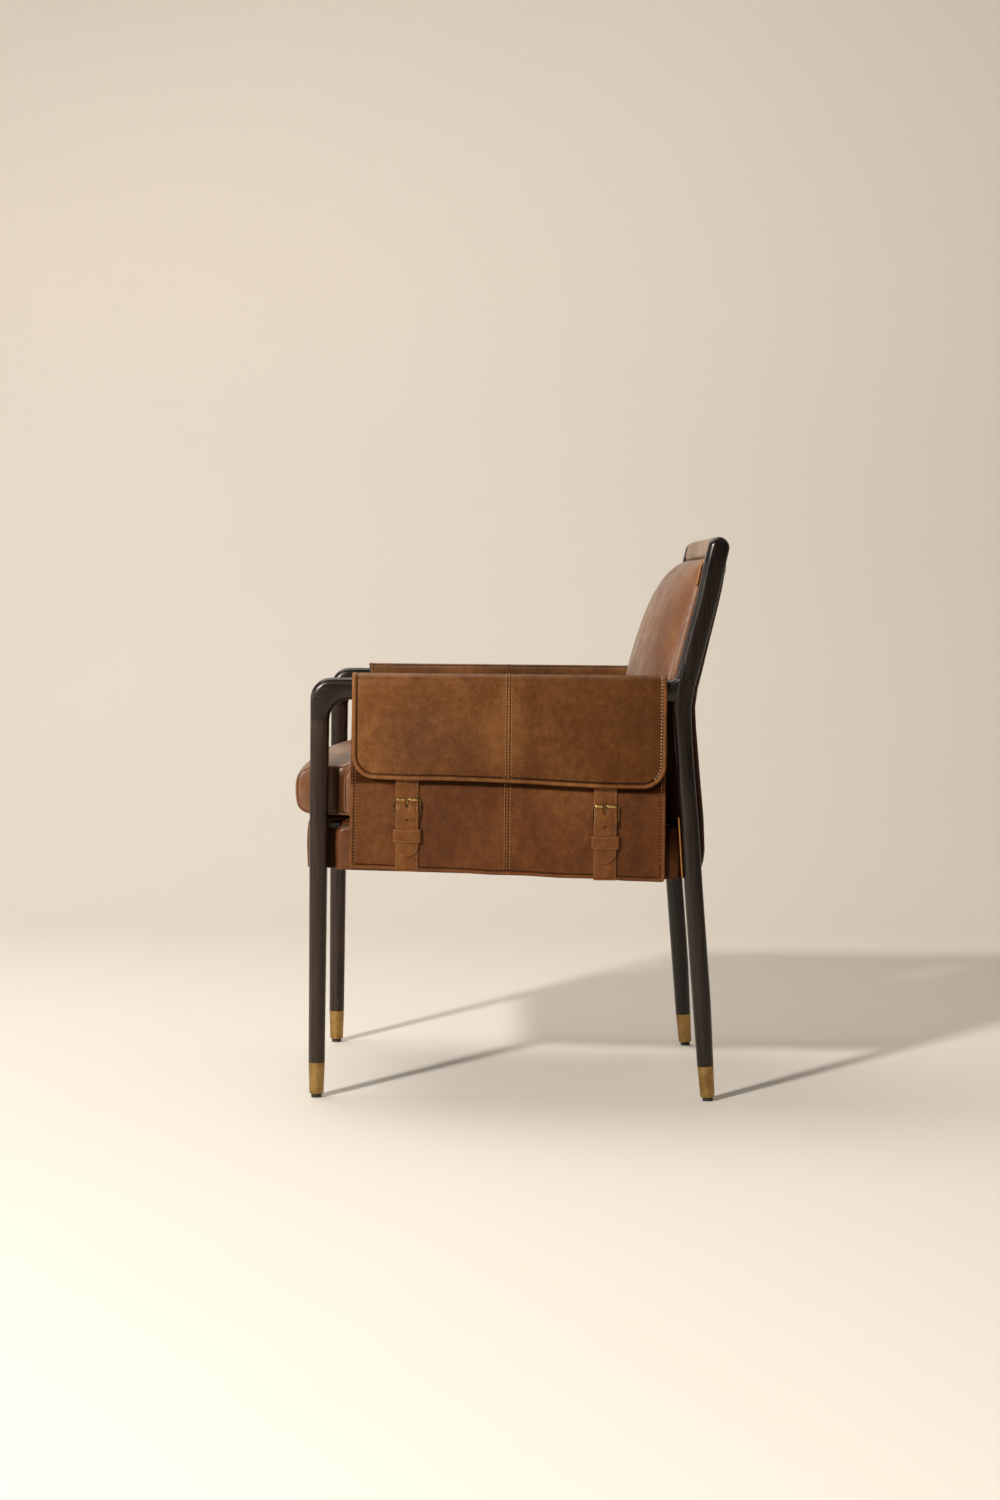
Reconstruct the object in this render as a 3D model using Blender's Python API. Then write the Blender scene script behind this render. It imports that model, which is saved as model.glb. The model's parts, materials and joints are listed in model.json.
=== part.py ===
"""Leather dining armchair: a dark wood frame with raked back posts, a padded seat and back,
and a buckled leather saddlebag hung over each arm.

Metres, +Z up. The chair faces -Y and its own left side is +X. The origin lies on the floor,
under the middle of the box round the chair.
"""

import math

import bmesh
import bpy
from mathutils import Matrix, Vector

# Overall sizes
OVERALL_DEPTH = 0.644
OVERALL_HEIGHT = 0.834
FRAME_SPACING = 0.520
FIT_GAP = 0.0003
CUT_OVERRUN = 0.004

# Legs and posts
LEG_WIDTH = 0.028
LEG_DEPTH = 0.0276
LEG_FOOT_DIAMETER = 0.0243
LEG_EDGE_RADIUS = 0.009
LEG_SETBACK = 0.031
POST_DEPTH = 0.0315
POST_SWAY = 0.0511

# Ferrules and glides
FERRULE_TOP_HEIGHT = 0.052
FERRULE_BOTTOM_DIAMETER = 0.0212
FERRULE_WALL = 0.0012
FERRULE_FLOOR = 0.002
FERRULE_EDGE = 0.0008
GLIDE_HEIGHT = 0.0055
GLIDE_DIAMETER = 0.0155
GLIDE_STEM_DIAMETER = 0.005
GLIDE_STEM_LENGTH = 0.012
GLIDE_SPARE = 0.002

# Arm rails; the rise is from the underside of the seat base
ARM_RISE = 0.2875
ARM_THICKNESS = 0.032
ARM_WIDTH = 0.0265
ELBOW_RADIUS = 0.030
ELBOW_DOWEL_DIAMETER = 0.010
ELBOW_DOWEL_LENGTH = 0.020
ARM_FLARE_RADIUS = 0.032
ARM_TENON_LENGTH = 0.012
ARM_TENON_THICKNESS = 0.010
ARM_TENON_HEIGHT = 0.018

# Seat frame, measured in the seat's own tilted frame from the underside of the base
SEAT_DATUM_HEIGHT = 0.3345
SEAT_TILT_DEGREES = 1.11
BASE_HEIGHT = 0.078
BASE_LEAD = 0.005
BASE_LEATHER = 0.0025
BASE_OVERHANG = 0.0085
BASE_CORNER_RADIUS = 0.010
BASE_WING_RADIUS = 0.014
BASE_TOP_ROUNDING = 0.016
WING_SETBACK = 0.0695
WING_END_GAP = 0.0015
BASE_REAR_GAP = 0.0006
RAIL_THICKNESS = 0.022
RAIL_HEIGHT = 0.055
DUST_COVER_THICKNESS = 0.0015
DUST_COVER_RECESS = 0.0006
DECK_THICKNESS = 0.009
BLOCK_LEG = 0.045
BLOCK_HEIGHT = 0.040

# Seat cushion
CUSHION_EDGE_HEIGHT = 0.085
CUSHION_CROWN_HEIGHT = 0.106
CUSHION_LEG_GAP = 0.002
CUSHION_WING_SETBACK = 0.069
CUSHION_CORNER_RADIUS = 0.022
CUSHION_WING_RADIUS = 0.022
CUSHION_REAR_MARGIN = 0.132
CUSHION_FRONT_BOW = 0.009
OUTLINE_STEP = 0.040

# Back
BACK_SIDE_GAP = 0.0005
CREST_HEIGHT = 0.032
CREST_DEPTH = 0.028
CREST_EDGE_RADIUS = 0.008
CREST_LEATHER = 0.003
CREST_DROP = 0.0018
CREST_CORE_RADIUS = 0.004
RAIL_TENON_LENGTH = 0.010
RAIL_TENON_THICKNESS = 0.010
RAIL_TENON_HEIGHT = 0.016
BOARD_THICKNESS = 0.006
BOARD_RECESS = 0.004
LOWER_RAIL_RISE = 0.0425
LOWER_RAIL_TALL = 0.032
LOWER_RAIL_SLACK = 0.0003
BACK_FOOT_RISE = 0.003
BACK_CUSHION_CROWN = 0.060
BACK_CUSHION_EDGE = 0.016
BACK_CUSHION_SIDE_GAP = 0.002
OUTER_BACK_RISE = 0.0105
OUTER_BACK_THICKNESS = 0.004
OUTER_BACK_CROWN = 0.006

# Arm leather: lining over the arm, body panel outside it and flap over both
LINING_THICKNESS = 0.002
LINING_HEM_RISE = 0.0115
LINING_TUCK_RISE = 0.0105
LINING_UNDER_ARM_DROP = 0.010
BAG_LEG_GAP = 0.0344
BAG_POST_GAP = 0.0069
PANEL_THICKNESS = 0.0025
PANEL_TOP_DROP = 0.010
PANEL_FRONT_HEM_RISE = 0.0075
PANEL_REAR_HEM_DROP = 0.005
PANEL_INSET = 0.003
FLAP_THICKNESS = 0.003
FLAP_FRONT_HEM_RISE = 0.136
FLAP_REAR_HEM_RISE = 0.128
FLAP_CORNER_RADIUS = 0.035
FLAP_WELT_WIDTH = 0.007
FLAP_WELT_HEIGHT = 0.0008
FLAP_TOP_EDGE = 0.0010

# Buckled straps
STRAP_WIDTH = 0.0335
STRAP_THICKNESS = 0.0022
STRAP_FRONT_INSET = 0.082
STRAP_REAR_INSET = 0.0885
BUCKLE_DROP = 0.0247
BUCKLE_WIDTH = 0.041
BUCKLE_SPAN = 0.0235
BUCKLE_CORNER_RADIUS = 0.005
BUCKLE_BAR_DIAMETER = 0.0029
STRAP_TIP_DROP = 0.0854
BASE_STRAP_OVERHANG = 0.001
BASE_STRAP_THICKNESS = 0.002
BASE_STRAP_EYE_WALL = 0.0014
PRONG_SLOT_WIDTH = 0.0042
PRONG_WIDTH = 0.003
PRONG_THICKNESS = 0.0018
PRONG_EYE_WALL = 0.0012
PRONG_BORE_CLEARANCE = 0.0002
PRONG_OVERHANG = 0.0022
STRAP_SLOT_WIDTH = 0.0042
STRAP_SLOT_LOW = 0.0015
STRAP_SLOT_HIGH = 0.0165
STRAP_HOLE_DIAMETER = 0.003
STRAP_HOLE_DROP = 0.031
KEEPER_DROP = 0.0445
KEEPER_HEIGHT = 0.019
KEEPER_WIDTH = 0.042
KEEPER_THICKNESS = 0.0018
KEEPER_SLACK = 0.0004

# Levels of detail, as counts and angles
CORNER_STEPS = 4
ROUND_SIDES = 24
SMALL_ROUND_SIDES = 12
BAR_SIDES = 8
BACK_ROWS = 18
SHARP_ANGLE = math.radians(35)
FLARE_TURN = math.radians(78)

# How far up under the flap the straps reach, as a share of the flap's height
STRAP_REACH_SHARE = 0.21

# Line of a back post: height, sway behind the waist and growth of its depth, as shares
POST_LINE_SHARES = (
    (0.0, 0.906, 0.00),
    (0.0636, 0.824, 0.00),
    (0.182, 0.685, 0.40),
    (0.290, 0.538, 0.40),
    (0.400, 0.390, 0.38),
    (0.507, 0.264, 0.33),
    (0.581, 0.152, 0.32),
    (0.6705, 0.037, 0.35),
    (0.725, 0.000, 0.69),
    (0.797, 0.247, 0.93),
    (0.9065, 0.680, 0.88),
    (0.9785, 0.916, 1.00),
    (1.0, 1.0, 1.00),
)

# Crown of the back cushion from its foot to its top, as shares of the full crown
BACK_CROWN_SHARES = (
    (0.0, 0.62),
    (0.10, 0.86),
    (0.30, 0.97),
    (0.50, 1.00),
    (0.68, 1.00),
    (0.82, 0.90),
    (0.90, 0.75),
    (0.95, 0.57),
    (0.98, 0.38),
    (1.0, 0.16),
)

# Stacked contours of the seat cushion: plan scale, and height as a share of the edge
CUSHION_SIDE_SHARES = (
    (0.930, 0.000),
    (0.972, 0.012),
    (0.992, 0.060),
    (1.000, 0.085),
    (0.994, 0.110),
    (1.000, 0.200),
    (1.000, 0.640),
    (0.993, 0.790),
    (0.972, 0.920),
)

# Contours of its crowned top: plan scale, and rise from the edge to the crown as a share
CUSHION_CROWN_SHARES = (
    (0.925, 0.10),
    (0.840, 0.32),
    (0.700, 0.58),
    (0.520, 0.80),
    (0.320, 0.94),
    (0.120, 1.00),
)

# Rounded top edge of the seat base: plan scale, and drop below the top as a share
BASE_TOP_SHARES = ((1.0, 1.0), (0.993, 0.55), (0.978, 0.20), (0.950, 0.0))

X_AXIS = Vector((1, 0, 0))
SIDES = (("left", 1), ("right", -1))


def clear_scene():
    for old in list(bpy.data.objects):
        bpy.data.objects.remove(old, do_unlink=True)


def finish(name, colour, roughness, metallic=0.0):
    material = bpy.data.materials.new(name)
    material.use_nodes = True
    shader = material.node_tree.nodes["Principled BSDF"]
    shader.inputs["Base Color"].default_value = (*colour, 1)
    shader.inputs["Roughness"].default_value = roughness
    shader.inputs["Metallic"].default_value = metallic
    return material


# Meshes from rings of points

def link(name, bm, material, place=(0, 0, 0), turn=(0, 0, 0), parent=None):
    """Adds the mesh to the scene with its faces pointing out."""
    bmesh.ops.recalc_face_normals(bm, faces=bm.faces)
    mesh = bpy.data.meshes.new(name)
    bm.to_mesh(mesh)
    bm.free()
    mesh.materials.append(material)
    mesh.shade_smooth()
    mesh.set_sharp_from_angle(angle=SHARP_ANGLE)
    obj = bpy.data.objects.new(name, mesh)
    bpy.context.scene.collection.objects.link(obj)
    obj.location = place
    obj.rotation_euler = turn
    obj.parent = parent
    return obj


def skin(rings, closed=False):
    """A solid through rings of equal count, capped at both ends or joined round in a loop."""
    bm = bmesh.new()
    loops = [[bm.verts.new(point) for point in ring] for ring in rings]
    pairs = list(zip(loops, loops[1:]))
    if closed:
        pairs.append((loops[-1], loops[0]))
    for low, high in pairs:
        for i in range(len(low)):
            j = (i + 1) % len(low)
            bm.faces.new((low[i], low[j], high[j], high[i]))
    if not closed:
        bm.faces.new(loops[0])
        bm.faces.new(loops[-1])
    return bm


def rounded_rectangle(half_a, half_b, radius, steps=CORNER_STEPS):
    """Corner arcs of a rectangle about its centre, as (a, b) pairs in order."""
    radius = min(radius, half_a, half_b)
    points = []
    for corner, (sign_a, sign_b) in enumerate(((1, 1), (-1, 1), (-1, -1), (1, -1))):
        for step in range(steps + 1):
            angle = math.pi / 2 * (corner + step / steps)
            a = sign_a * (half_a - radius) + radius * math.cos(angle)
            b = sign_b * (half_b - radius) + radius * math.sin(angle)
            points.append((a, b))
    return points


def section(centre, direction, half_depth, half_width, radius):
    """A rounded section that spans its depth along direction and its width along X."""
    outline = rounded_rectangle(half_depth, half_width, radius)
    return [centre + direction * a + X_AXIS * b for a, b in outline]


def span_section(outer, inner, width, radius):
    """A rounded section between two points of a side view."""
    middle = (outer + inner) / 2
    reach = outer - inner
    return section(middle, reach.normalized(), reach.length / 2, width / 2, radius)


def turned(profile, sides=ROUND_SIDES, closed=False):
    """A solid turned about Z from (radius, height) pairs."""
    rings = []
    for radius, height in profile:
        ring = []
        for i in range(sides):
            angle = 2 * math.pi * i / sides
            ring.append(Vector((radius * math.cos(angle), radius * math.sin(angle), height)))
        rings.append(ring)
    return skin(rings, closed)


def block(size, centre=(0, 0, 0)):
    bm = bmesh.new()
    place = Matrix.Translation(centre) @ Matrix.Diagonal((*size, 1))
    bmesh.ops.create_cube(bm, size=1, matrix=place)
    return bm


def plate(outline, near, far, axis="x"):
    """A flat outline extruded along X, as (y, z) pairs, or along Z, as (x, y) pairs."""
    if axis == "x":
        rings = [[Vector((x, y, z)) for y, z in outline] for x in (near, far)]
    else:
        rings = [[Vector((x, y, z)) for x, y in outline] for z in (near, far)]
    return skin(rings)


def cut(obj, cutter, operation="DIFFERENCE"):
    """Cuts obj with a guide solid that isn't part of the chair."""
    cutter.hide_render = True
    cutter.display_type = "WIRE"
    modifier = obj.modifiers.new(cutter.name, "BOOLEAN")
    modifier.operation = operation
    modifier.object = cutter
    return modifier


def smooth_row(table, place):
    """The row of a table of shares at a place between its rows, on a smooth curve."""
    last = len(table) - 2
    index = max(i for i in range(last + 1) if i == 0 or table[i][0] <= place)
    low, high = table[index], table[index + 1]
    before = table[max(index - 1, 0)]
    after = table[min(index + 2, last + 1)]
    span = high[0] - low[0]
    t = (place - low[0]) / span
    row = []
    for column in range(1, len(low)):
        start_slope = (high[column] - before[column]) / (high[0] - before[0]) * span
        end_slope = (after[column] - low[column]) / (after[0] - low[0]) * span
        rise = high[column] - low[column]
        curve = low[column] + start_slope * t
        curve += (3 * rise - 2 * start_slope - end_slope) * t ** 2
        curve += (start_slope + end_slope - 2 * rise) * t ** 3
        row.append(curve)
    return row


def blend_share(value):
    """A smooth step from 0 to 1."""
    value = min(max(value, 0), 1)
    return value * value * (3 - 2 * value)


# Places that several pieces share

FRONT_FACE = -OVERALL_DEPTH / 2
LEG_FRONT = FRONT_FACE + LEG_SETBACK
LEG_INNER = FRAME_SPACING / 2 - LEG_WIDTH / 2
POST_END_RADIUS = POST_DEPTH / 2
POST_CAP_HEIGHT = OVERALL_HEIGHT - POST_END_RADIUS
POST_TOP_PLACE = OVERALL_DEPTH / 2 - POST_END_RADIUS
POST_WAIST_PLACE = POST_TOP_PLACE - POST_SWAY
ARM_TOP_HEIGHT = SEAT_DATUM_HEIGHT + ARM_RISE
ARM_UNDERSIDE = ARM_TOP_HEIGHT - ARM_THICKNESS
ELBOW_HEIGHT = ARM_UNDERSIDE - ELBOW_RADIUS
BASE_TOP_HEIGHT = SEAT_DATUM_HEIGHT + BASE_HEIGHT
BACK_FOOT_HEIGHT = BASE_TOP_HEIGHT + BACK_FOOT_RISE
LOWER_RAIL_HEIGHT = BASE_TOP_HEIGHT + LOWER_RAIL_RISE
OUTER_BACK_BOTTOM_HEIGHT = SEAT_DATUM_HEIGHT + OUTER_BACK_RISE
BAG_FRONT = LEG_FRONT + LEG_DEPTH + BAG_LEG_GAP
BAG_REAR = POST_WAIST_PLACE - POST_DEPTH / 2 - BAG_POST_GAP


def post_line(height):
    """Centre, direction towards the rear and depth of a back post at a height."""
    sway, growth = smooth_row(POST_LINE_SHARES, height / POST_CAP_HEIGHT)
    step = POST_CAP_HEIGHT / 1000
    side = -step if height > POST_CAP_HEIGHT / 2 else step
    near_sway = smooth_row(POST_LINE_SHARES, (height + side) / POST_CAP_HEIGHT)[0]
    slope = (near_sway - sway) * POST_SWAY / side
    rearward = Vector((0, 1, -slope)).normalized()
    centre = Vector((0, POST_WAIST_PLACE + sway * POST_SWAY, height))
    return centre, rearward, LEG_FOOT_DIAMETER + growth * (POST_DEPTH - LEG_FOOT_DIAMETER)


def post_point(height, offset):
    """A side-view point behind (or in front of) the post's centre line, square to it."""
    centre, rearward, _ = post_line(height)
    return centre + rearward * offset


def foot_width(height):
    """Width of a leg, which narrows and rounds off from the seat to its ferrule."""
    share = blend_share((height - FERRULE_TOP_HEIGHT) / (SEAT_DATUM_HEIGHT - FERRULE_TOP_HEIGHT))
    width = LEG_FOOT_DIAMETER + share * (LEG_WIDTH - LEG_FOOT_DIAMETER)
    return width, width / 2 + share * (LEG_EDGE_RADIUS - width / 2)


def front_axis():
    return Vector((0, LEG_FRONT + LEG_FOOT_DIAMETER / 2, 0)), 0.0


def rear_axis():
    """Where a back leg's foot axis meets the floor, and its lean forwards."""
    foot = post_line(0)[0]
    upper = post_line(FERRULE_TOP_HEIGHT)[0]
    return foot, math.atan2(foot.y - upper.y, FERRULE_TOP_HEIGHT)


def foot_matrix(foot, lean, side):
    """The frame of a foot: its Z runs up the ferrule."""
    place = Matrix.Translation((side * FRAME_SPACING / 2, foot.y, 0))
    return place @ Matrix.Rotation(lean, 4, "X")


def ferrule_radius(height):
    """Outer radius of a ferrule at a distance up its axis."""
    share = (height - GLIDE_HEIGHT) / (FERRULE_TOP_HEIGHT - GLIDE_HEIGHT)
    return (FERRULE_BOTTOM_DIAMETER + share * (LEG_FOOT_DIAMETER - FERRULE_BOTTOM_DIAMETER)) / 2


def round_ring(radius, height, lean=0.0):
    """A leg's round ring with the same point order as its sections, square to its axis."""
    turn = Matrix.Rotation(lean, 3, "X")
    depth_way = turn @ Vector((0, 1, 0))
    centre = turn @ Vector((0, 0, height))
    return section(centre, depth_way, radius, radius, radius)


def spigot_rings(lean):
    """The turned end of a leg inside its ferrule, from the bottom of the glide's bore up."""
    tip = GLIDE_HEIGHT + FERRULE_FLOOR + FIT_GAP
    skin_off = FERRULE_WALL + FIT_GAP
    bore = GLIDE_STEM_DIAMETER / 2 + FIT_GAP
    shoulder = FERRULE_TOP_HEIGHT + FIT_GAP
    return [
        round_ring(bore, tip + GLIDE_STEM_LENGTH + FIT_GAP, lean),
        round_ring(bore, tip, lean),
        round_ring(ferrule_radius(tip) - skin_off, tip, lean),
        round_ring(ferrule_radius(shoulder) - skin_off, shoulder, lean),
        round_ring(LEG_FOOT_DIAMETER / 2, shoulder, lean),
    ]


def heights_between(low, high, count):
    return [low + (high - low) * i / count for i in range(1, count + 1)]


# Wood frame

def front_leg(name, side, wood):
    """A plumb-faced leg: spigot, tapered shaft and a dowel up into the arm's elbow."""
    foot, _ = front_axis()
    rings = [[point + foot for point in ring] for ring in spigot_rings(0.0)]
    for height in heights_between(FERRULE_TOP_HEIGHT + FIT_GAP, ELBOW_HEIGHT - FIT_GAP, 9):
        share = (height - FERRULE_TOP_HEIGHT) / (ELBOW_HEIGHT - FERRULE_TOP_HEIGHT)
        depth = LEG_FOOT_DIAMETER + share * (LEG_DEPTH - LEG_FOOT_DIAMETER)
        width, radius = foot_width(height)
        centre = Vector((0, LEG_FRONT + depth / 2, height))
        rings.append(section(centre, Vector((0, 1, 0)), depth / 2, width / 2, radius))
    seat = Vector((0, LEG_FRONT + LEG_DEPTH / 2, 0))
    dowel = ELBOW_DOWEL_DIAMETER / 2
    for height in (ELBOW_HEIGHT - FIT_GAP, ELBOW_HEIGHT + ELBOW_DOWEL_LENGTH):
        rings.append([point + seat for point in round_ring(dowel, height)])
    return link(name, skin(rings), wood, (side * FRAME_SPACING / 2, 0, 0))


def post_rings(grow=0.0):
    """Sections of a back post from its shoulder to its rounded top, grown all round."""
    rings = []
    for height in heights_between(FERRULE_TOP_HEIGHT + FIT_GAP, POST_CAP_HEIGHT, 26):
        centre, rearward, depth = post_line(height)
        width, radius = foot_width(height)
        rings.append(section(centre, rearward, depth / 2 + grow, width / 2 + grow, radius + grow))
    centre, rearward, _ = post_line(POST_CAP_HEIGHT)
    upward = rearward.cross(X_AXIS) * -1
    for step in range(1, 7):
        angle = math.pi / 2 * step / 6.4
        half_depth = (POST_END_RADIUS + grow) * math.cos(angle)
        half_width = LEG_WIDTH / 2 + grow - LEG_EDGE_RADIUS * (1 - math.cos(angle))
        rise = upward * (POST_END_RADIUS + grow) * math.sin(angle)
        radius = min(LEG_EDGE_RADIUS + grow, half_depth)
        rings.append(section(centre + rise, rearward, half_depth, half_width, radius))
    return rings


def back_post(name, side, wood):
    """Leg and back upright in one sawn and shaped piece, raked below and leaning above."""
    foot, lean = rear_axis()
    rings = [[point + foot for point in ring] for ring in spigot_rings(lean)]
    return link(name, skin(rings + post_rings()), wood, (side * FRAME_SPACING / 2, 0, 0))


def post_guide(name, side, wood):
    """A post grown by the fit gap, which copes the end of an arm rail."""
    return link(name, skin(post_rings(FIT_GAP)), wood, (side * FRAME_SPACING / 2, 0, 0))


def arc_points(centre, radius, start, end, steps):
    """Side-view points on an arc, with angles from +Y towards +Z."""
    points = []
    for step in range(steps + 1):
        angle = start + (end - start) * step / steps
        points.append(centre + Vector((0, math.cos(angle), math.sin(angle))) * radius)
    return points


def resample(points, count):
    """Evenly spaced points along a side-view line."""
    lengths = [0.0]
    for low, high in zip(points, points[1:]):
        lengths.append(lengths[-1] + (high - low).length)
    result = []
    for i in range(count):
        target = lengths[-1] * i / (count - 1)
        k = max(j for j in range(len(points) - 1) if j == 0 or lengths[j] <= target)
        share = (target - lengths[k]) / (lengths[k + 1] - lengths[k])
        result.append(points[k].lerp(points[k + 1], min(share, 1)))
    return result


def arm_rings():
    """The arm from its elbow on the leg to inside the post, where it flares up."""
    leg_rear = LEG_FRONT + LEG_DEPTH
    outer_centre = Vector((0, LEG_FRONT + ELBOW_RADIUS, ARM_TOP_HEIGHT - ELBOW_RADIUS))
    inner_centre = Vector((0, leg_rear + ELBOW_RADIUS, ELBOW_HEIGHT))
    outer = [Vector((0, LEG_FRONT, ELBOW_HEIGHT))]
    outer += arc_points(outer_centre, ELBOW_RADIUS, math.pi, math.pi / 2, 12)
    outer.append(Vector((0, inner_centre.y, ARM_TOP_HEIGHT)))
    inner = arc_points(inner_centre, ELBOW_RADIUS, math.pi, math.pi / 2, 12)
    dowel = ELBOW_DOWEL_DIAMETER / 2 + FIT_GAP
    seat = Vector((0, LEG_FRONT + LEG_DEPTH / 2, 0))
    rings = []
    for height in (ELBOW_HEIGHT + ELBOW_DOWEL_LENGTH + FIT_GAP, ELBOW_HEIGHT):
        ring = section(seat + Vector((0, 0, height)), Vector((0, -1, 0)), dowel, dowel, dowel)
        rings.append(ring)
    for top, low in zip(resample(outer, 13), resample(inner, 13)):
        share = blend_share((top.y - LEG_FRONT) / ELBOW_RADIUS)
        width = LEG_WIDTH + share * (ARM_WIDTH - LEG_WIDTH)
        rings.append(span_section(top, low, width, LEG_EDGE_RADIUS))
    flare_start = post_point(ARM_TOP_HEIGHT, -POST_DEPTH / 2).y - ARM_FLARE_RADIUS / 2
    for step in range(1, 4):
        place = inner_centre.y + (flare_start - inner_centre.y) * step / 3
        top = Vector((0, place, ARM_TOP_HEIGHT))
        low = Vector((0, place, ARM_UNDERSIDE))
        rings.append(span_section(top, low, ARM_WIDTH, LEG_EDGE_RADIUS))
    low_end = post_line(ARM_UNDERSIDE)[0]
    for step in range(1, 7):
        angle = FLARE_TURN * step / 6
        run = ARM_FLARE_RADIUS * math.sin(angle)
        rise = ARM_FLARE_RADIUS * (1 - math.cos(angle))
        top = Vector((0, flare_start + run, ARM_TOP_HEIGHT + rise))
        low = Vector((0, flare_start, ARM_UNDERSIDE)).lerp(low_end, step / 7)
        rings.append(span_section(top, low, ARM_WIDTH, LEG_EDGE_RADIUS))
    top_end = post_line(rings[-1][0].z)[0]
    rings.append(span_section(top_end, low_end, ARM_WIDTH, LEG_EDGE_RADIUS))
    return rings


def tenon_block(reach_from, reach_to, height, tall, thickness, grow, side):
    """A tenon or its mortise along Y, at an arm rail's height."""
    size = (thickness + 2 * grow, reach_to - reach_from + 2 * grow, tall + 2 * grow)
    centre = (side * FRAME_SPACING / 2, (reach_from + reach_to) / 2, height)
    return block(size, centre)


def arm_joint(side, grow):
    """The arm's tenon: from ahead of the post to its depth inside it."""
    height = (ARM_TOP_HEIGHT + ARM_UNDERSIDE) / 2
    front = post_point(height, -post_line(height)[2] / 2).y
    reach_from = front - ARM_TENON_LENGTH
    reach_to = front + ARM_TENON_LENGTH
    tall = ARM_TENON_HEIGHT
    return tenon_block(reach_from, reach_to, height, tall, ARM_TENON_THICKNESS, grow, side)


def cross_tenon(centre, turn, length, depth, tall, grow):
    """Both tenons of a cross rail as one long block, or their mortises."""
    size = (length + 2 * grow, depth + 2 * grow, tall + 2 * grow)
    bm = block(size)
    bm.transform(Matrix.Translation(centre) @ Matrix.Rotation(turn, 4, "X"))
    return bm


def rail_turn(height):
    """The lean of the post at a height, as a rotation about X."""
    rearward = post_line(height)[1]
    return math.atan2(rearward.z, rearward.y)


CREST_CENTRE_HEIGHT = OVERALL_HEIGHT - CREST_DROP - CREST_HEIGHT / 2
BACK_TOP_HEIGHT = CREST_CENTRE_HEIGHT - CREST_HEIGHT / 2
OUTER_BACK_INSET = FIT_GAP + OUTER_BACK_THICKNESS
CROSS_LENGTH = 2 * (LEG_INNER + RAIL_TENON_LENGTH)


def crest_place():
    centre = post_line(CREST_CENTRE_HEIGHT)[0]
    return centre, rail_turn(CREST_CENTRE_HEIGHT)


def lower_rail_reach():
    """Front and rear of the lower back rail, from the board's back to the outer back."""
    half = post_line(LOWER_RAIL_HEIGHT)[2] / 2
    front = BOARD_RECESS + BOARD_THICKNESS + FIT_GAP - half
    return front + LOWER_RAIL_SLACK, half - OUTER_BACK_INSET - FIT_GAP - LOWER_RAIL_SLACK


def lower_rail_place():
    middle = sum(lower_rail_reach()) / 2
    return post_point(LOWER_RAIL_HEIGHT, middle), rail_turn(LOWER_RAIL_HEIGHT)


def cross_rail(name, place, depth, tall, radius, wood):
    """A rail between the posts with a tenon at each end."""
    centre, turn = place
    outline = rounded_rectangle(depth / 2, tall / 2, radius)
    half = LEG_INNER - BACK_SIDE_GAP
    rings = [[Vector((x, a, b)) for a, b in outline] for x in (-half, half)]
    rail = link(name, skin(rings), wood, centre, (turn, 0, 0))
    reach = CROSS_LENGTH - 2 * FIT_GAP
    size = (reach, RAIL_TENON_THICKNESS, RAIL_TENON_HEIGHT)
    tenons = link(f"{name}_tenons", block(size), wood, centre, (turn, 0, 0))
    cut(rail, tenons, "UNION")
    return rail


def mortise_guides(side, wood):
    """The cutters of one post: one mortise each for the arm, the crest and the lower rail."""
    guides = [link(f"arm_mortise_{side}", arm_joint(side, FIT_GAP), wood)]
    for name, (centre, turn) in (("crest", crest_place()), ("lower", lower_rail_place())):
        size = (CROSS_LENGTH, RAIL_TENON_THICKNESS, RAIL_TENON_HEIGHT)
        bm = cross_tenon(centre, turn, *size, FIT_GAP)
        guides.append(link(f"{name}_mortise_{side}", bm, wood))
    return guides


def wood_frame(wood):
    for word, side in SIDES:
        front_leg(f"{word}_front_leg", side, wood)
        post = back_post(f"{word}_back_post", side, wood)
        for guide in mortise_guides(side, wood):
            cut(post, guide)
        arm = link(f"{word}_arm_rail", skin(arm_rings()), wood, (side * FRAME_SPACING / 2, 0, 0))
        coping = post_guide(f"arm_coping_{side}", side, wood)
        cut(coping, link(f"arm_tenon_{side}", arm_joint(side, 0), wood))
        cut(arm, coping)
    core_depth = CREST_DEPTH - 2 * (CREST_LEATHER + FIT_GAP)
    core_tall = CREST_HEIGHT - 2 * (CREST_LEATHER + FIT_GAP)
    cross_rail("crest_rail", crest_place(), core_depth, core_tall, CREST_CORE_RADIUS, wood)
    low, high = lower_rail_reach()
    place = lower_rail_place()
    cross_rail("lower_back_rail", place, high - low, LOWER_RAIL_TALL, CREST_CORE_RADIUS / 2, wood)


# Feet

def ferrule(name, matrix, brass):
    """A tapered brass cup with a hole in its floor for the glide's stem."""
    hole = GLIDE_STEM_DIAMETER / 2 + FIT_GAP
    bottom = ferrule_radius(GLIDE_HEIGHT)
    floor = GLIDE_HEIGHT + FERRULE_FLOOR
    top = LEG_FOOT_DIAMETER / 2
    profile = (
        (hole, GLIDE_HEIGHT),
        (bottom - FERRULE_EDGE, GLIDE_HEIGHT),
        (bottom, GLIDE_HEIGHT + FERRULE_EDGE),
        (top, FERRULE_TOP_HEIGHT),
        (top - FERRULE_WALL, FERRULE_TOP_HEIGHT),
        (ferrule_radius(floor) - FERRULE_WALL, floor),
        (hole, floor),
    )
    cup = link(name, turned(profile, closed=True), brass)
    cup.matrix_world = matrix
    return cup


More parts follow.
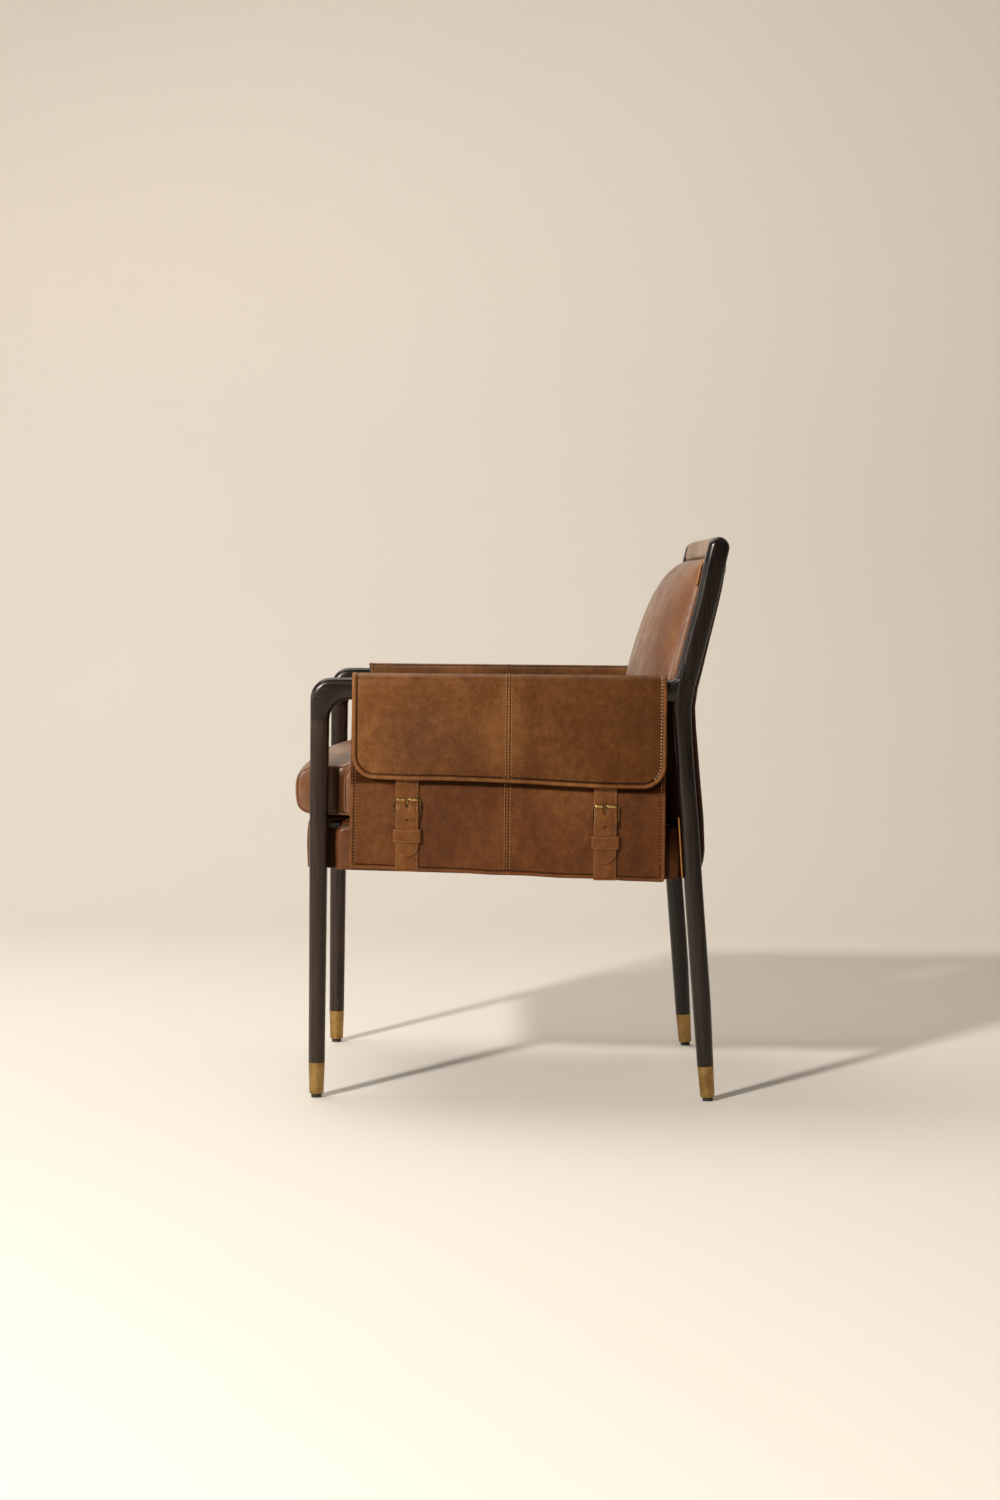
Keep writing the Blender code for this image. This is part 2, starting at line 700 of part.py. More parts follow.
def glide(name, matrix, rubber, floor_guide):
    """A black glide whose stem runs up into the leg, cut level with the floor."""
    radius = GLIDE_DIAMETER / 2
    stem = GLIDE_STEM_DIAMETER / 2
    seat = GLIDE_HEIGHT - FIT_GAP
    profile = (
        (radius, -GLIDE_SPARE),
        (radius, seat - FERRULE_EDGE),
        (radius - FERRULE_EDGE, seat),
        (stem, seat),
        (stem, GLIDE_HEIGHT + FERRULE_FLOOR + GLIDE_STEM_LENGTH),
    )
    foot = link(name, turned(profile), rubber)
    foot.matrix_world = matrix
    cut(foot, floor_guide)
    return foot


def feet(brass, rubber):
    size = (2 * FRAME_SPACING, 2 * OVERALL_DEPTH, 2 * CUT_OVERRUN)
    floor_guide = link("floor_guide", block(size, (0, 0, -CUT_OVERRUN)), rubber)
    for word, side in SIDES:
        for place, (foot, lean) in (("front", front_axis()), ("rear", rear_axis())):
            matrix = foot_matrix(foot, lean, side)
            ferrule(f"{word}_{place}_ferrule", matrix, brass)
            glide(f"{word}_{place}_glide", matrix, rubber, floor_guide)


# Seat

def rounded_corner(corner, before, after, radius, steps=5):
    """Arc points that round a corner of a plan outline, or the corner itself."""
    if radius <= 0:
        return [corner]
    way_in = (before - corner).normalized()
    way_out = (after - corner).normalized()
    centre = corner + (way_in + way_out) * radius
    points = []
    for step in range(steps + 1):
        angle = math.pi / 2 * step / steps
        points.append(centre - way_out * radius * math.cos(angle) - way_in * radius * math.sin(angle))
    return points


def seat_outline(narrow, wide, front, shoulder, heel, rear, front_radius, wing_radius):
    """The plan of the seat: narrow between the legs and wide behind and before them."""
    corners = [
        (Vector((narrow, front)), front_radius),
        (Vector((narrow, shoulder)), 0),
        (Vector((wide, shoulder)), wing_radius),
        (Vector((wide, heel)), wing_radius / 2),
    ]
    if rear > heel:
        corners += [(Vector((narrow, heel)), 0), (Vector((narrow, rear)), wing_radius / 2)]
    mirrored = [(Vector((-point.x, point.y)), radius) for point, radius in reversed(corners)]
    loop = corners + mirrored
    points = []
    for i, (corner, radius) in enumerate(loop):
        before = loop[i - 1][0]
        after = loop[(i + 1) % len(loop)][0]
        points += rounded_corner(corner, before, after, radius)
    return points


def fill_edges(points, step):
    """The same outline with points added along its long edges."""
    result = []
    for point, after in zip(points, points[1:] + points[:1]):
        count = max(1, round((after - point).length / step))
        result += [point.lerp(after, i / count) for i in range(count)]
    return result


def contour(outline, scale, height, centre):
    return [Vector((*(centre + (point - centre) * scale), height)) for point in outline]


BASE_NARROW = LEG_INNER - FIT_GAP
BASE_WIDE = FRAME_SPACING / 2 + BASE_OVERHANG
BASE_FRONT = LEG_FRONT - BASE_LEAD
BASE_SHOULDER = FRONT_FACE + WING_SETBACK
SEAT_TILT = math.radians(SEAT_TILT_DEGREES)
CUSHION_NOSE_HEIGHT = BASE_HEIGHT + CUSHION_EDGE_HEIGHT / 2
CUSHION_FRONT = FRONT_FACE - CUSHION_NOSE_HEIGHT * math.sin(SEAT_TILT)
HALF_POST_AT_BASE = post_line(BASE_TOP_HEIGHT)[2] / 2
BASE_REAR = post_point(BASE_TOP_HEIGHT, HALF_POST_AT_BASE - OUTER_BACK_INSET).y - BASE_REAR_GAP
RAIL_OUTER = BASE_NARROW - BASE_LEATHER - FIT_GAP
RAIL_BOTTOM = DUST_COVER_RECESS + DUST_COVER_THICKNESS + FIT_GAP
RAIL_TOP = RAIL_BOTTOM + RAIL_HEIGHT
DECK_TOP = RAIL_TOP + FIT_GAP + DECK_THICKNESS
RAIL_FRONT = BASE_FRONT + BASE_LEATHER + FIT_GAP
RAIL_REAR = BASE_REAR - BASE_LEATHER - FIT_GAP


def wing_heel():
    """Where the wide part of the base ends, just ahead of the posts."""
    return post_point(BASE_TOP_HEIGHT, -HALF_POST_AT_BASE).y - WING_END_GAP


def base_outline(inset):
    """The base's plan, drawn in evenly by an inset."""
    return seat_outline(
        BASE_NARROW - inset,
        BASE_WIDE - inset,
        BASE_FRONT + inset,
        BASE_SHOULDER + inset,
        wing_heel() - inset,
        BASE_REAR - inset,
        BASE_CORNER_RADIUS - inset,
        BASE_WING_RADIUS - inset,
    )


def seat_base_cover(leather, datum):
    """Leather drawn over the seat frame: open below, rounded along its top edges."""
    outer = base_outline(0)
    inner = base_outline(BASE_LEATHER)
    centre = Vector((0, 0))
    rings = [contour(inner, 1, 0, centre), contour(outer, 1, 0, centre)]
    for scale, drop in BASE_TOP_SHARES:
        rings.append(contour(outer, scale, BASE_HEIGHT - drop * BASE_TOP_ROUNDING, centre))
    shell = skin(rings)
    cover = link("seat_base_cover", shell, leather, parent=datum)
    hollow = [contour(inner, 1, -CUT_OVERRUN, centre), contour(inner, 1, DECK_TOP + FIT_GAP, centre)]
    cut(cover, link("base_hollow", skin(hollow), leather, parent=datum))
    return cover


def rail_outline(side, inner, outer, front, rear, front_radius, rear_radius):
    """A rail's plan with its two outer corners rounded to lie inside the leather."""
    corners = [
        (Vector((inner, front)), 0),
        (Vector((outer, front)), front_radius),
        (Vector((outer, rear)), rear_radius),
        (Vector((inner, rear)), 0),
    ]
    points = []
    for i, (corner, radius) in enumerate(corners):
        before = corners[i - 1][0]
        after = corners[(i + 1) % len(corners)][0]
        points += rounded_corner(corner, before, after, radius)
    return [(side * point.x, point.y) for point in points]


def seat_rails(wood, datum):
    """A box of four rails, and strips beside it that carry the wide part of the seat."""
    inset = BASE_LEATHER + FIT_GAP
    wing_radius = BASE_WING_RADIUS - inset
    rail_inner = RAIL_OUTER - RAIL_THICKNESS
    rail_ends = (RAIL_FRONT, RAIL_REAR, BASE_CORNER_RADIUS - inset, wing_radius / 2)
    strip_ends = (BASE_SHOULDER + inset, wing_heel() - inset, wing_radius, wing_radius / 2)
    for word, side in SIDES:
        rail = rail_outline(side, rail_inner, RAIL_OUTER, *rail_ends)
        link(f"seat_{word}_rail", plate(rail, RAIL_BOTTOM, RAIL_TOP, "z"), wood, parent=datum)
        strip = rail_outline(side, RAIL_OUTER + FIT_GAP, BASE_WIDE - inset, *strip_ends)
        link(f"{word}_wing_strip", plate(strip, RAIL_BOTTOM, RAIL_TOP, "z"), wood, parent=datum)
    half = rail_inner - FIT_GAP
    for word, front in (("front", RAIL_FRONT), ("back", RAIL_REAR - RAIL_THICKNESS)):
        rear = front + RAIL_THICKNESS
        outline = [(-half, front), (half, front), (half, rear), (-half, rear)]
        link(f"seat_{word}_rail", plate(outline, RAIL_BOTTOM, RAIL_TOP, "z"), wood, parent=datum)


def corner_blocks(wood, datum):
    """Four triangular blocks in the corners of the rail box."""
    inner = RAIL_OUTER - RAIL_THICKNESS - FIT_GAP
    bottom = RAIL_TOP - FIT_GAP - BLOCK_HEIGHT
    for word, side in SIDES:
        for place, edge, way in (
            ("front", RAIL_FRONT + RAIL_THICKNESS + FIT_GAP, 1),
            ("rear", RAIL_REAR - RAIL_THICKNESS - FIT_GAP, -1),
        ):
            outline = [
                (side * inner, edge),
                (side * (inner - BLOCK_LEG), edge),
                (side * inner, edge + way * BLOCK_LEG),
            ]
            prism = plate(outline, bottom, bottom + BLOCK_HEIGHT, "z")
            link(f"{word}_{place}_corner_block", prism, wood, parent=datum)


def seat_boards(wood, fabric, datum):
    """The deck on top of the rails and the dust cover under them."""
    inset = BASE_LEATHER + FIT_GAP
    deck = plate(base_outline(inset), RAIL_TOP + FIT_GAP, DECK_TOP, "z")
    link("seat_deck", deck, wood, parent=datum)
    top = DUST_COVER_RECESS + DUST_COVER_THICKNESS
    sheet = plate(base_outline(inset), DUST_COVER_RECESS, top, "z")
    link("dust_cover", sheet, fabric, parent=datum)


def bow_front(outline, narrow, shoulder):
    """The cushion's front edge, bowed forwards in the middle."""
    bowed = []
    for point in outline:
        place = point.copy()
        if place.y < shoulder:
            place.y += CUSHION_FRONT_BOW * (place.x / narrow) ** 2
        bowed.append(place)
    return bowed


def seat_cushion(leather, datum):
    """A crowned box cushion with piping round its foot and a rounded front."""
    narrow = LEG_INNER - CUSHION_LEG_GAP
    wide = BASE_WIDE - FIT_GAP
    shoulder = FRONT_FACE + CUSHION_WING_SETBACK
    rear = OVERALL_DEPTH / 2 - CUSHION_REAR_MARGIN
    outline = seat_outline(
        narrow, wide, CUSHION_FRONT, shoulder, rear, rear, CUSHION_CORNER_RADIUS, CUSHION_WING_RADIUS
    )
    outline = bow_front(fill_edges(outline, OUTLINE_STEP), narrow, shoulder)
    centre = Vector((0, (CUSHION_FRONT + rear) / 2))
    base = BASE_HEIGHT + FIT_GAP
    rings = []
    for scale, share in CUSHION_SIDE_SHARES:
        rings.append(contour(outline, scale, base + share * CUSHION_EDGE_HEIGHT, centre))
    rise = CUSHION_CROWN_HEIGHT - CUSHION_EDGE_HEIGHT
    for scale, share in CUSHION_CROWN_SHARES:
        height = base + CUSHION_EDGE_HEIGHT + share * rise
        rings.append(contour(outline, scale, height, centre))
    return link("seat_cushion", skin(rings), leather, parent=datum)


def seat(wood, leather, fabric):
    datum = bpy.data.objects.new("seat_datum", None)
    bpy.context.scene.collection.objects.link(datum)
    datum.location = (0, 0, SEAT_DATUM_HEIGHT)
    datum.rotation_euler = (-SEAT_TILT, 0, 0)
    seat_rails(wood, datum)
    corner_blocks(wood, datum)
    seat_boards(wood, fabric, datum)
    seat_base_cover(leather, datum)
    seat_cushion(leather, datum)


# Back

def post_band(low, high, front_offset, rear_offset, count):
    """A side-view strip that follows the post's line between two heights."""
    heights = [low] + heights_between(low, high, count)
    front = [post_point(height, front_offset(height)) for height in heights]
    rear = [post_point(height, rear_offset(height)) for height in heights]
    return [(point.y, point.z) for point in front + rear[::-1]]


def half_post(height):
    return post_line(height)[2] / 2


def back_board(wood):
    """A thin curved board between the posts, a little behind their front faces."""
    outline = post_band(
        BACK_FOOT_HEIGHT,
        BACK_TOP_HEIGHT - FIT_GAP,
        lambda height: BOARD_RECESS - half_post(height),
        lambda height: BOARD_RECESS + BOARD_THICKNESS - half_post(height),
        BACK_ROWS,
    )
    half = LEG_INNER - BACK_SIDE_GAP
    return link("back_board", plate(outline, -half, half), wood)


def cushion_share(table, share):
    return smooth_row(table, share)[0]


def pad_grid(low, high, half, columns, rows, surface):
    """Rows of points across the back, from a surface of (x share, height) to an offset."""
    grid = []
    for row in range(rows + 1):
        height = low + (high - low) * row / rows
        centre, rearward, _ = post_line(height)
        line = []
        for column in range(columns + 1):
            across = math.sin(math.pi / 2 * (2 * column / columns - 1))
            offset = surface(across, height)
            line.append(centre + rearward * offset + X_AXIS * across * half)
        grid.append(line)
    return grid


def pad(front, rear):
    """A closed solid between two grids of the same size."""
    rings = [front_line + rear_line[::-1] for front_line, rear_line in zip(front, rear)]
    return skin(rings)


def back_cushion(leather):
    """The padded back: fullest behind the sitter's waist and rounded in under the crest."""
    low, high = BACK_FOOT_HEIGHT, BACK_TOP_HEIGHT - FIT_GAP

    def crown(across, height):
        share = (height - low) / (high - low)
        full = BACK_CUSHION_CROWN * cushion_share(BACK_CROWN_SHARES, share)
        edge = min(BACK_CUSHION_EDGE, full)
        roundness = math.sqrt(max(1 - abs(across) ** 4, 0))
        return -half_post(height) - edge - (full - edge) * roundness

    def board_side(across, height):
        return BOARD_RECESS - half_post(height) - FIT_GAP

    half = LEG_INNER - BACK_CUSHION_SIDE_GAP
    size = (low, high, half, 16, BACK_ROWS)
    return link("back_cushion", pad(pad_grid(*size, crown), pad_grid(*size, board_side)), leather)


def outer_back_panel(leather):
    """The leather outer back, lightly padded, between the posts' rear faces."""
    low, high = OUTER_BACK_BOTTOM_HEIGHT, BACK_TOP_HEIGHT - FIT_GAP

    def outer(across, height):
        share = (height - low) / (high - low)
        rise = math.sin(math.pi * min(max(share, 0), 1)) ** 0.5
        fullness = (1 - across ** 4) * rise
        return half_post(height) - FIT_GAP + OUTER_BACK_CROWN * fullness

    def inner(across, height):
        return half_post(height) - OUTER_BACK_INSET

    half = LEG_INNER - BACK_SIDE_GAP
    size = (low, high, half, 8, 14)
    return link("outer_back_panel", pad(pad_grid(*size, outer), pad_grid(*size, inner)), leather)


def crest_wrap(leather):
    """The leather sleeve round the crest rail, open at the posts."""
    centre, turn = crest_place()
    half = LEG_INNER - FIT_GAP
    core = CREST_LEATHER
    outer = rounded_rectangle(CREST_DEPTH / 2, CREST_HEIGHT / 2, CREST_EDGE_RADIUS)
    inner = rounded_rectangle(CREST_DEPTH / 2 - core, CREST_HEIGHT / 2 - core, CREST_CORE_RADIUS)
    rings = []
    for outline, x in ((outer, -half), (outer, half), (inner, half), (inner, -half)):
        rings.append([Vector((x, a, b)) for a, b in outline])
    return link("crest_wrap", skin(rings, closed=True), leather, centre, (turn, 0, 0))


def back(wood, leather):
    back_board(wood)
    back_cushion(leather)
    outer_back_panel(leather)
    crest_wrap(leather)


# Saddlebags over the arms

ARM_HALF = ARM_WIDTH / 2
LINING_OFFSET = FIT_GAP + LINING_THICKNESS / 2
HINGE_PLACE = FRAME_SPACING / 2 + ARM_HALF - LEG_EDGE_RADIUS
HINGE_HEIGHT = ARM_TOP_HEIGHT - LEG_EDGE_RADIUS
PANEL_INNER = FRAME_SPACING / 2 + ARM_HALF + 2 * FIT_GAP + LINING_THICKNESS
PANEL_FACE = PANEL_INNER + PANEL_THICKNESS
FLAP_RADIUS = PANEL_FACE + FIT_GAP - HINGE_PLACE
FLAP_HEM_MIDDLE = SEAT_DATUM_HEIGHT + FLAP_FRONT_HEM_RISE
STRAP_TOP_HEIGHT = FLAP_HEM_MIDDLE + STRAP_REACH_SHARE * (HINGE_HEIGHT - FLAP_HEM_MIDDLE)
FLAP_TILT = math.atan2(STRAP_THICKNESS + 2 * FIT_GAP, HINGE_HEIGHT - STRAP_TOP_HEIGHT)


def thick_line(points, thickness):
    """Two sides of a bent strip in one plane: points and result are pairs."""
    left, right = [], []
    for i, point in enumerate(points):
        before = points[max(i - 1, 0)]
        after = points[min(i + 1, len(points) - 1)]
        way = (after - before).normalized()
        side = Vector((-way.y, way.x)) * thickness / 2
        left.append(point + side)
        right.append(point - side)
    return left + right[::-1]


def lining_line():
    """Middle line of the lining in front view, as (x, z), from the outside over the arm."""
    corner = LEG_EDGE_RADIUS + LINING_OFFSET
    outer = FRAME_SPACING / 2 + ARM_HALF - LEG_EDGE_RADIUS
    inner = FRAME_SPACING / 2 - ARM_HALF + LEG_EDGE_RADIUS
    height = ARM_TOP_HEIGHT - LEG_EDGE_RADIUS
    points = [Vector((outer + corner, height - PANEL_TOP_DROP))]
    for centre, start in ((outer, 0), (inner, math.pi / 2)):
        for step in range(7):
            angle = start + math.pi / 2 * step / 6
            way = Vector((math.cos(angle), math.sin(angle)))
            points.append(Vector((centre, height)) + way * corner)
    tuck = BASE_WIDE + FIT_GAP + LINING_THICKNESS / 2
    tuck_height = BASE_TOP_HEIGHT + CUSHION_EDGE_HEIGHT + LINING_TUCK_RISE
    start = Vector((inner - corner, ARM_UNDERSIDE + LINING_UNDER_ARM_DROP))
    end = Vector((tuck, tuck_height))
    points.append(start)
    depth = start.y - end.y
    for step in range(1, 10):
        share = step / 10
        x = start.x + (end.x - start.x) * blend_share(share)
        points.append(Vector((x, start.y - depth * share)))
    points.append(end)
    points.append(Vector((tuck, SEAT_DATUM_HEIGHT + LINING_HEM_RISE)))
    return points


def arm_wrap(name, side, leather):
    """The lining: over the arm, down inside it and out between the seat and the panel."""
    outline = thick_line(lining_line(), LINING_THICKNESS)
    rings = []
    for y in (BAG_FRONT + PANEL_INSET, BAG_REAR - PANEL_INSET):
        rings.append([Vector((side * point.x, y, point.y)) for point in outline])
    return link(name, skin(rings), leather)


def panel_hem(place):
    """Height of the body panel's hem, which falls towards the rear."""
    share = (place - BAG_FRONT) / (BAG_REAR - BAG_FRONT)
    fall = PANEL_FRONT_HEM_RISE + PANEL_REAR_HEM_DROP
    return SEAT_DATUM_HEIGHT + PANEL_FRONT_HEM_RISE - fall * share


def flap_hem(place):
    """Height of the flap's hem between its rounded corners."""
    start = BAG_FRONT + FLAP_CORNER_RADIUS
    end = BAG_REAR - FLAP_CORNER_RADIUS
    share = blend_share((place - start) / (end - start))
    rise = FLAP_FRONT_HEM_RISE + (FLAP_REAR_HEM_RISE - FLAP_FRONT_HEM_RISE) * share
    return SEAT_DATUM_HEIGHT + rise


def side_panel(name, side, leather):
    """The bag's flat body, whose hem falls a little to the rear."""
    top = ARM_TOP_HEIGHT - PANEL_TOP_DROP
    outline = [
        (BAG_FRONT - PANEL_INSET, panel_hem(BAG_FRONT)),
        (BAG_REAR, panel_hem(BAG_REAR)),
        (BAG_REAR, top),
        (BAG_FRONT, top),
    ]
    return link(name, plate(outline, side * PANEL_INNER, side * PANEL_FACE), leather)


def flap_outline(inset, top_inset):
    """The flap in side view from its hinge down, with two rounded lower corners."""
    front, rear = BAG_FRONT + inset, BAG_REAR - inset
    radius = FLAP_CORNER_RADIUS - inset
    points = [(front, -top_inset)]
    for centre, start in ((front + radius, math.pi), (rear - radius, 3 * math.pi / 2)):
        low = flap_hem(centre) - HINGE_HEIGHT + inset + radius
        for step in range(9):
            angle = start + math.pi / 2 * step / 8
            points.append((centre + radius * math.cos(angle), low + radius * math.sin(angle)))
        if start == math.pi:
            for step in range(1, 8):
                y = centre + (rear - radius - centre) * step / 8
                points.append((y, flap_hem(y) - HINGE_HEIGHT + inset))
    points.append((rear, -top_inset))
    return points


def flap(name, side, leather):
    """The bag's flap with a raised welt round it. Its origin lies on the hinge line."""
    outer = FLAP_RADIUS + FLAP_THICKNESS
    full = flap_outline(0, 0)
    field = flap_outline(FLAP_WELT_WIDTH, FLAP_TOP_EDGE)
    rings = []
    for outline, x in (
        (full, FLAP_RADIUS),
        (full, outer),
        (field, outer),
        (field, outer - FLAP_WELT_HEIGHT),
    ):
        rings.append([Vector((side * x, y, z)) for y, z in outline])
    tilt = (0, -side * FLAP_TILT, 0)
    return link(name, skin(rings), leather, (side * HINGE_PLACE, 0, HINGE_HEIGHT), tilt)


def saddlebags(leather):
    for word, side in SIDES:
        arm_wrap(f"{word}_arm_wrap", side, leather)
        side_panel(f"{word}_side_panel", side, leather)
        flap(f"{word}_flap", side, leather)


# Buckles and straps, built about the buckle's heel bar: X outwards, Z up

BAR_RADIUS = BUCKLE_BAR_DIAMETER / 2
EYE_RADIUS = BAR_RADIUS + FIT_GAP + BASE_STRAP_EYE_WALL
HEEL_STANDOFF = FIT_GAP + EYE_RADIUS
HEEL_STRAP = EYE_RADIUS + FIT_GAP + STRAP_THICKNESS / 2
TOP_BAR_OFFSET = FIT_GAP + STRAP_THICKNESS + FIT_GAP + BAR_RADIUS - HEEL_STANDOFF
STRAP_LAID = FIT_GAP + STRAP_THICKNESS / 2 - HEEL_STANDOFF
STRAP_DOUBLED = STRAP_LAID + BASE_STRAP_THICKNESS + FIT_GAP
BUCKLE_TILT = math.atan2(TOP_BAR_OFFSET, BUCKLE_SPAN)


def strap_line(heel_height):
    """Middle line of the tip strap in end view, from under the flap to its tip, as (x, z)."""
    over = BAR_RADIUS + STRAP_THICKNESS
    points = [
        Vector((STRAP_LAID, STRAP_TOP_HEIGHT - heel_height)),
        Vector((STRAP_LAID, BUCKLE_SPAN + over)),
        Vector((STRAP_LAID, BUCKLE_SPAN - over / 2)),
        Vector((HEEL_STRAP, EYE_RADIUS / 2)),
        Vector((HEEL_STRAP, -EYE_RADIUS / 2)),
        Vector((STRAP_DOUBLED, -2 * EYE_RADIUS - over)),
        Vector((STRAP_DOUBLED, BUCKLE_SPAN - STRAP_TIP_DROP + STRAP_WIDTH / 2)),
    ]
    return points


def tip_strap(name, side, heel, leather):
    """The long strap: under the front bar, over the heel, through the keeper to a round tip."""
    line = strap_line(heel[2])
    rings = []
    ways = []
    for i, point in enumerate(line):
        before = line[max(i - 1, 0)]
        after = line[min(i + 1, len(line) - 1)]
        ways.append((after - before).normalized())
    stations = [(point, way, STRAP_WIDTH / 2) for point, way in zip(line, ways)]
    radius = STRAP_WIDTH / 2
    for step in range(1, 7):
        angle = math.pi / 2 * step / 6.3
        point = line[-1] + Vector((0, -radius * math.sin(angle)))
        stations.append((point, Vector((0, -1)), radius * math.cos(angle)))
    for point, way, half in stations:
        normal = Vector((-way.y, way.x)) * STRAP_THICKNESS / 2
        ring = []
        for offset, y in ((normal, half), (normal, -half), (-normal, -half), (-normal, half)):
            place = point + offset
            ring.append(Vector((side * place.x, y, place.y)))
        rings.append(ring)
    strap = link(name, skin(rings), leather, heel)
    reach = 4 * HEEL_STRAP
    slot_size = (reach, STRAP_SLOT_WIDTH, STRAP_SLOT_HIGH - STRAP_SLOT_LOW)
    slot = block(slot_size, (0, 0, (STRAP_SLOT_HIGH + STRAP_SLOT_LOW) / 2))
    cut(strap, link(f"{name}_slot", slot, leather, heel))
    hole = turned(
        ((STRAP_HOLE_DIAMETER / 2, -reach / 2), (STRAP_HOLE_DIAMETER / 2, reach / 2)),
        SMALL_ROUND_SIDES,
    )
    hole.transform(Matrix.Rotation(math.pi / 2, 4, "Y"))
    lower = Vector(heel) + Vector((0, 0, BUCKLE_SPAN - STRAP_HOLE_DROP))
    cut(strap, link(f"{name}_hole", hole, leather, lower))
    return strap


def bar_turned(profile, sides):
    """A turned shape laid along Y."""
    bm = turned(profile, sides)
    bm.transform(Matrix.Rotation(math.pi / 2, 4, "X"))
    return bm


def base_strap(name, side, heel, leather):
    """The short strap that holds the heel bar in two knuckles and hangs to the hem."""
    low = panel_hem(heel[1]) - BASE_STRAP_OVERHANG - heel[2]
    x = side * (FIT_GAP + BASE_STRAP_THICKNESS / 2 - HEEL_STANDOFF)
    size = (BASE_STRAP_THICKNESS, STRAP_WIDTH, -low)
    strap = link(name, block(size, (x, 0, low / 2)), leather, heel)
    straight = (BUCKLE_WIDTH - BUCKLE_BAR_DIAMETER) / 2 - BUCKLE_CORNER_RADIUS
    eye = bar_turned(((EYE_RADIUS, -straight), (EYE_RADIUS, straight)), SMALL_ROUND_SIDES)
    cut(strap, link(f"{name}_eye", eye, leather, heel), "UNION")
    bore = BAR_RADIUS + FIT_GAP
    reach = STRAP_WIDTH / 2 + CUT_OVERRUN
    hole = bar_turned(((bore, -reach), (bore, reach)), SMALL_ROUND_SIDES)
    cut(strap, link(f"{name}_bore", hole, leather, heel))
    slot_size = (4 * EYE_RADIUS, PRONG_SLOT_WIDTH, 3 * EYE_RADIUS)
    cut(strap, link(f"{name}_slot", block(slot_size), leather, heel))
    return strap


def buckle_frame(name, side, heel, brass):
    """A cast ring: straight front bar and heel bar, round corners, one round section."""
    half_width = (BUCKLE_WIDTH - BUCKLE_BAR_DIAMETER) / 2
    outline = rounded_rectangle(half_width, BUCKLE_SPAN / 2, BUCKLE_CORNER_RADIUS)
    points = [Vector((0, a, b + BUCKLE_SPAN / 2)) for a, b in outline]
    rings = []
    for i, point in enumerate(points):
        way = (points[(i + 1) % len(points)] - points[i - 1]).normalized()
        across = way.cross(X_AXIS)
        ring = []
        for k in range(BAR_SIDES):
            angle = 2 * math.pi * (k + 0.5) / BAR_SIDES
            offset = across * math.cos(angle) + X_AXIS * math.sin(angle)
            ring.append(point + offset * BAR_RADIUS)
        rings.append(ring)
    tilt = (0, side * BUCKLE_TILT, 0)
    return link(name, skin(rings, closed=True), brass, heel, tilt)


def prong(name, side, heel, brass):
    """The buckle's prong: an eye on the heel bar and a tongue that rests over the front bar."""
    eye_inner = BAR_RADIUS + PRONG_BORE_CLEARANCE
    eye_outer = eye_inner + PRONG_EYE_WALL
    half = PRONG_WIDTH / 2
    rest = TOP_BAR_OFFSET + BAR_RADIUS + FIT_GAP + PRONG_THICKNESS / 2
    lean = math.atan2(rest, BUCKLE_SPAN)
    length = math.hypot(rest, BUCKLE_SPAN) + PRONG_OVERHANG
    start = (eye_inner + eye_outer) / 2
    size = (PRONG_THICKNESS, PRONG_WIDTH, length - start)
    tongue = block(size, (0, 0, (length + start) / 2))
    tilt = (0, side * lean, 0)
    piece = link(name, tongue, brass, heel, tilt)
    eye = bar_turned(((eye_outer, -half), (eye_outer, half)), SMALL_ROUND_SIDES)
    cut(piece, link(f"{name}_eye", eye, brass, heel, tilt), "UNION")
    reach = half + CUT_OVERRUN
    bore = bar_turned(((eye_inner, -reach), (eye_inner, reach)), SMALL_ROUND_SIDES)
    cut(piece, link(f"{name}_bore", bore, brass, heel, tilt))
    return piece


def keeper(name, side, heel, leather):
    """A leather loop over both straps, its ends sewn to the panel beside them."""
    top = BUCKLE_SPAN - KEEPER_DROP
    inner = STRAP_DOUBLED + STRAP_THICKNESS / 2 + KEEPER_SLACK
    outer = inner + KEEPER_THICKNESS
    floor = FIT_GAP - HEEL_STANDOFF
    half = KEEPER_WIDTH / 2
    wall = KEEPER_THICKNESS
    outline = [
        (floor, -half),
        (outer - wall, -half),
        (outer, -half + wall),
        (outer, half - wall),
        (outer - wall, half),
        (floor, half),
        (floor, half - wall),
        (inner - wall / 2, half - wall),
        (inner, half - 3 * wall / 2),
        (inner, 3 * wall / 2 - half),
        (inner - wall / 2, wall - half),
        (floor, wall - half),
    ]
    outline = [(side * x, y) for x, y in outline]
    return link(name, plate(outline, top - KEEPER_HEIGHT, top, "z"), leather, heel)


def buckled_straps(leather, brass):
    for word, side in SIDES:
        for place, y in (
            ("front", BAG_FRONT + STRAP_FRONT_INSET),
            ("rear", BAG_REAR - STRAP_REAR_INSET),
        ):
            name = f"{word}_{place}"
            height = flap_hem(y) - BUCKLE_DROP - BUCKLE_SPAN
            heel = (side * (PANEL_FACE + HEEL_STANDOFF), y, height)
            tip_strap(f"{name}_tip_strap", side, heel, leather)
            base_strap(f"{name}_base_strap", side, heel, leather)
            keeper(f"{name}_keeper", side, heel, leather)
            buckle_frame(f"{name}_buckle_frame", side, heel, brass)
            prong(f"{name}_prong", side, heel, brass)


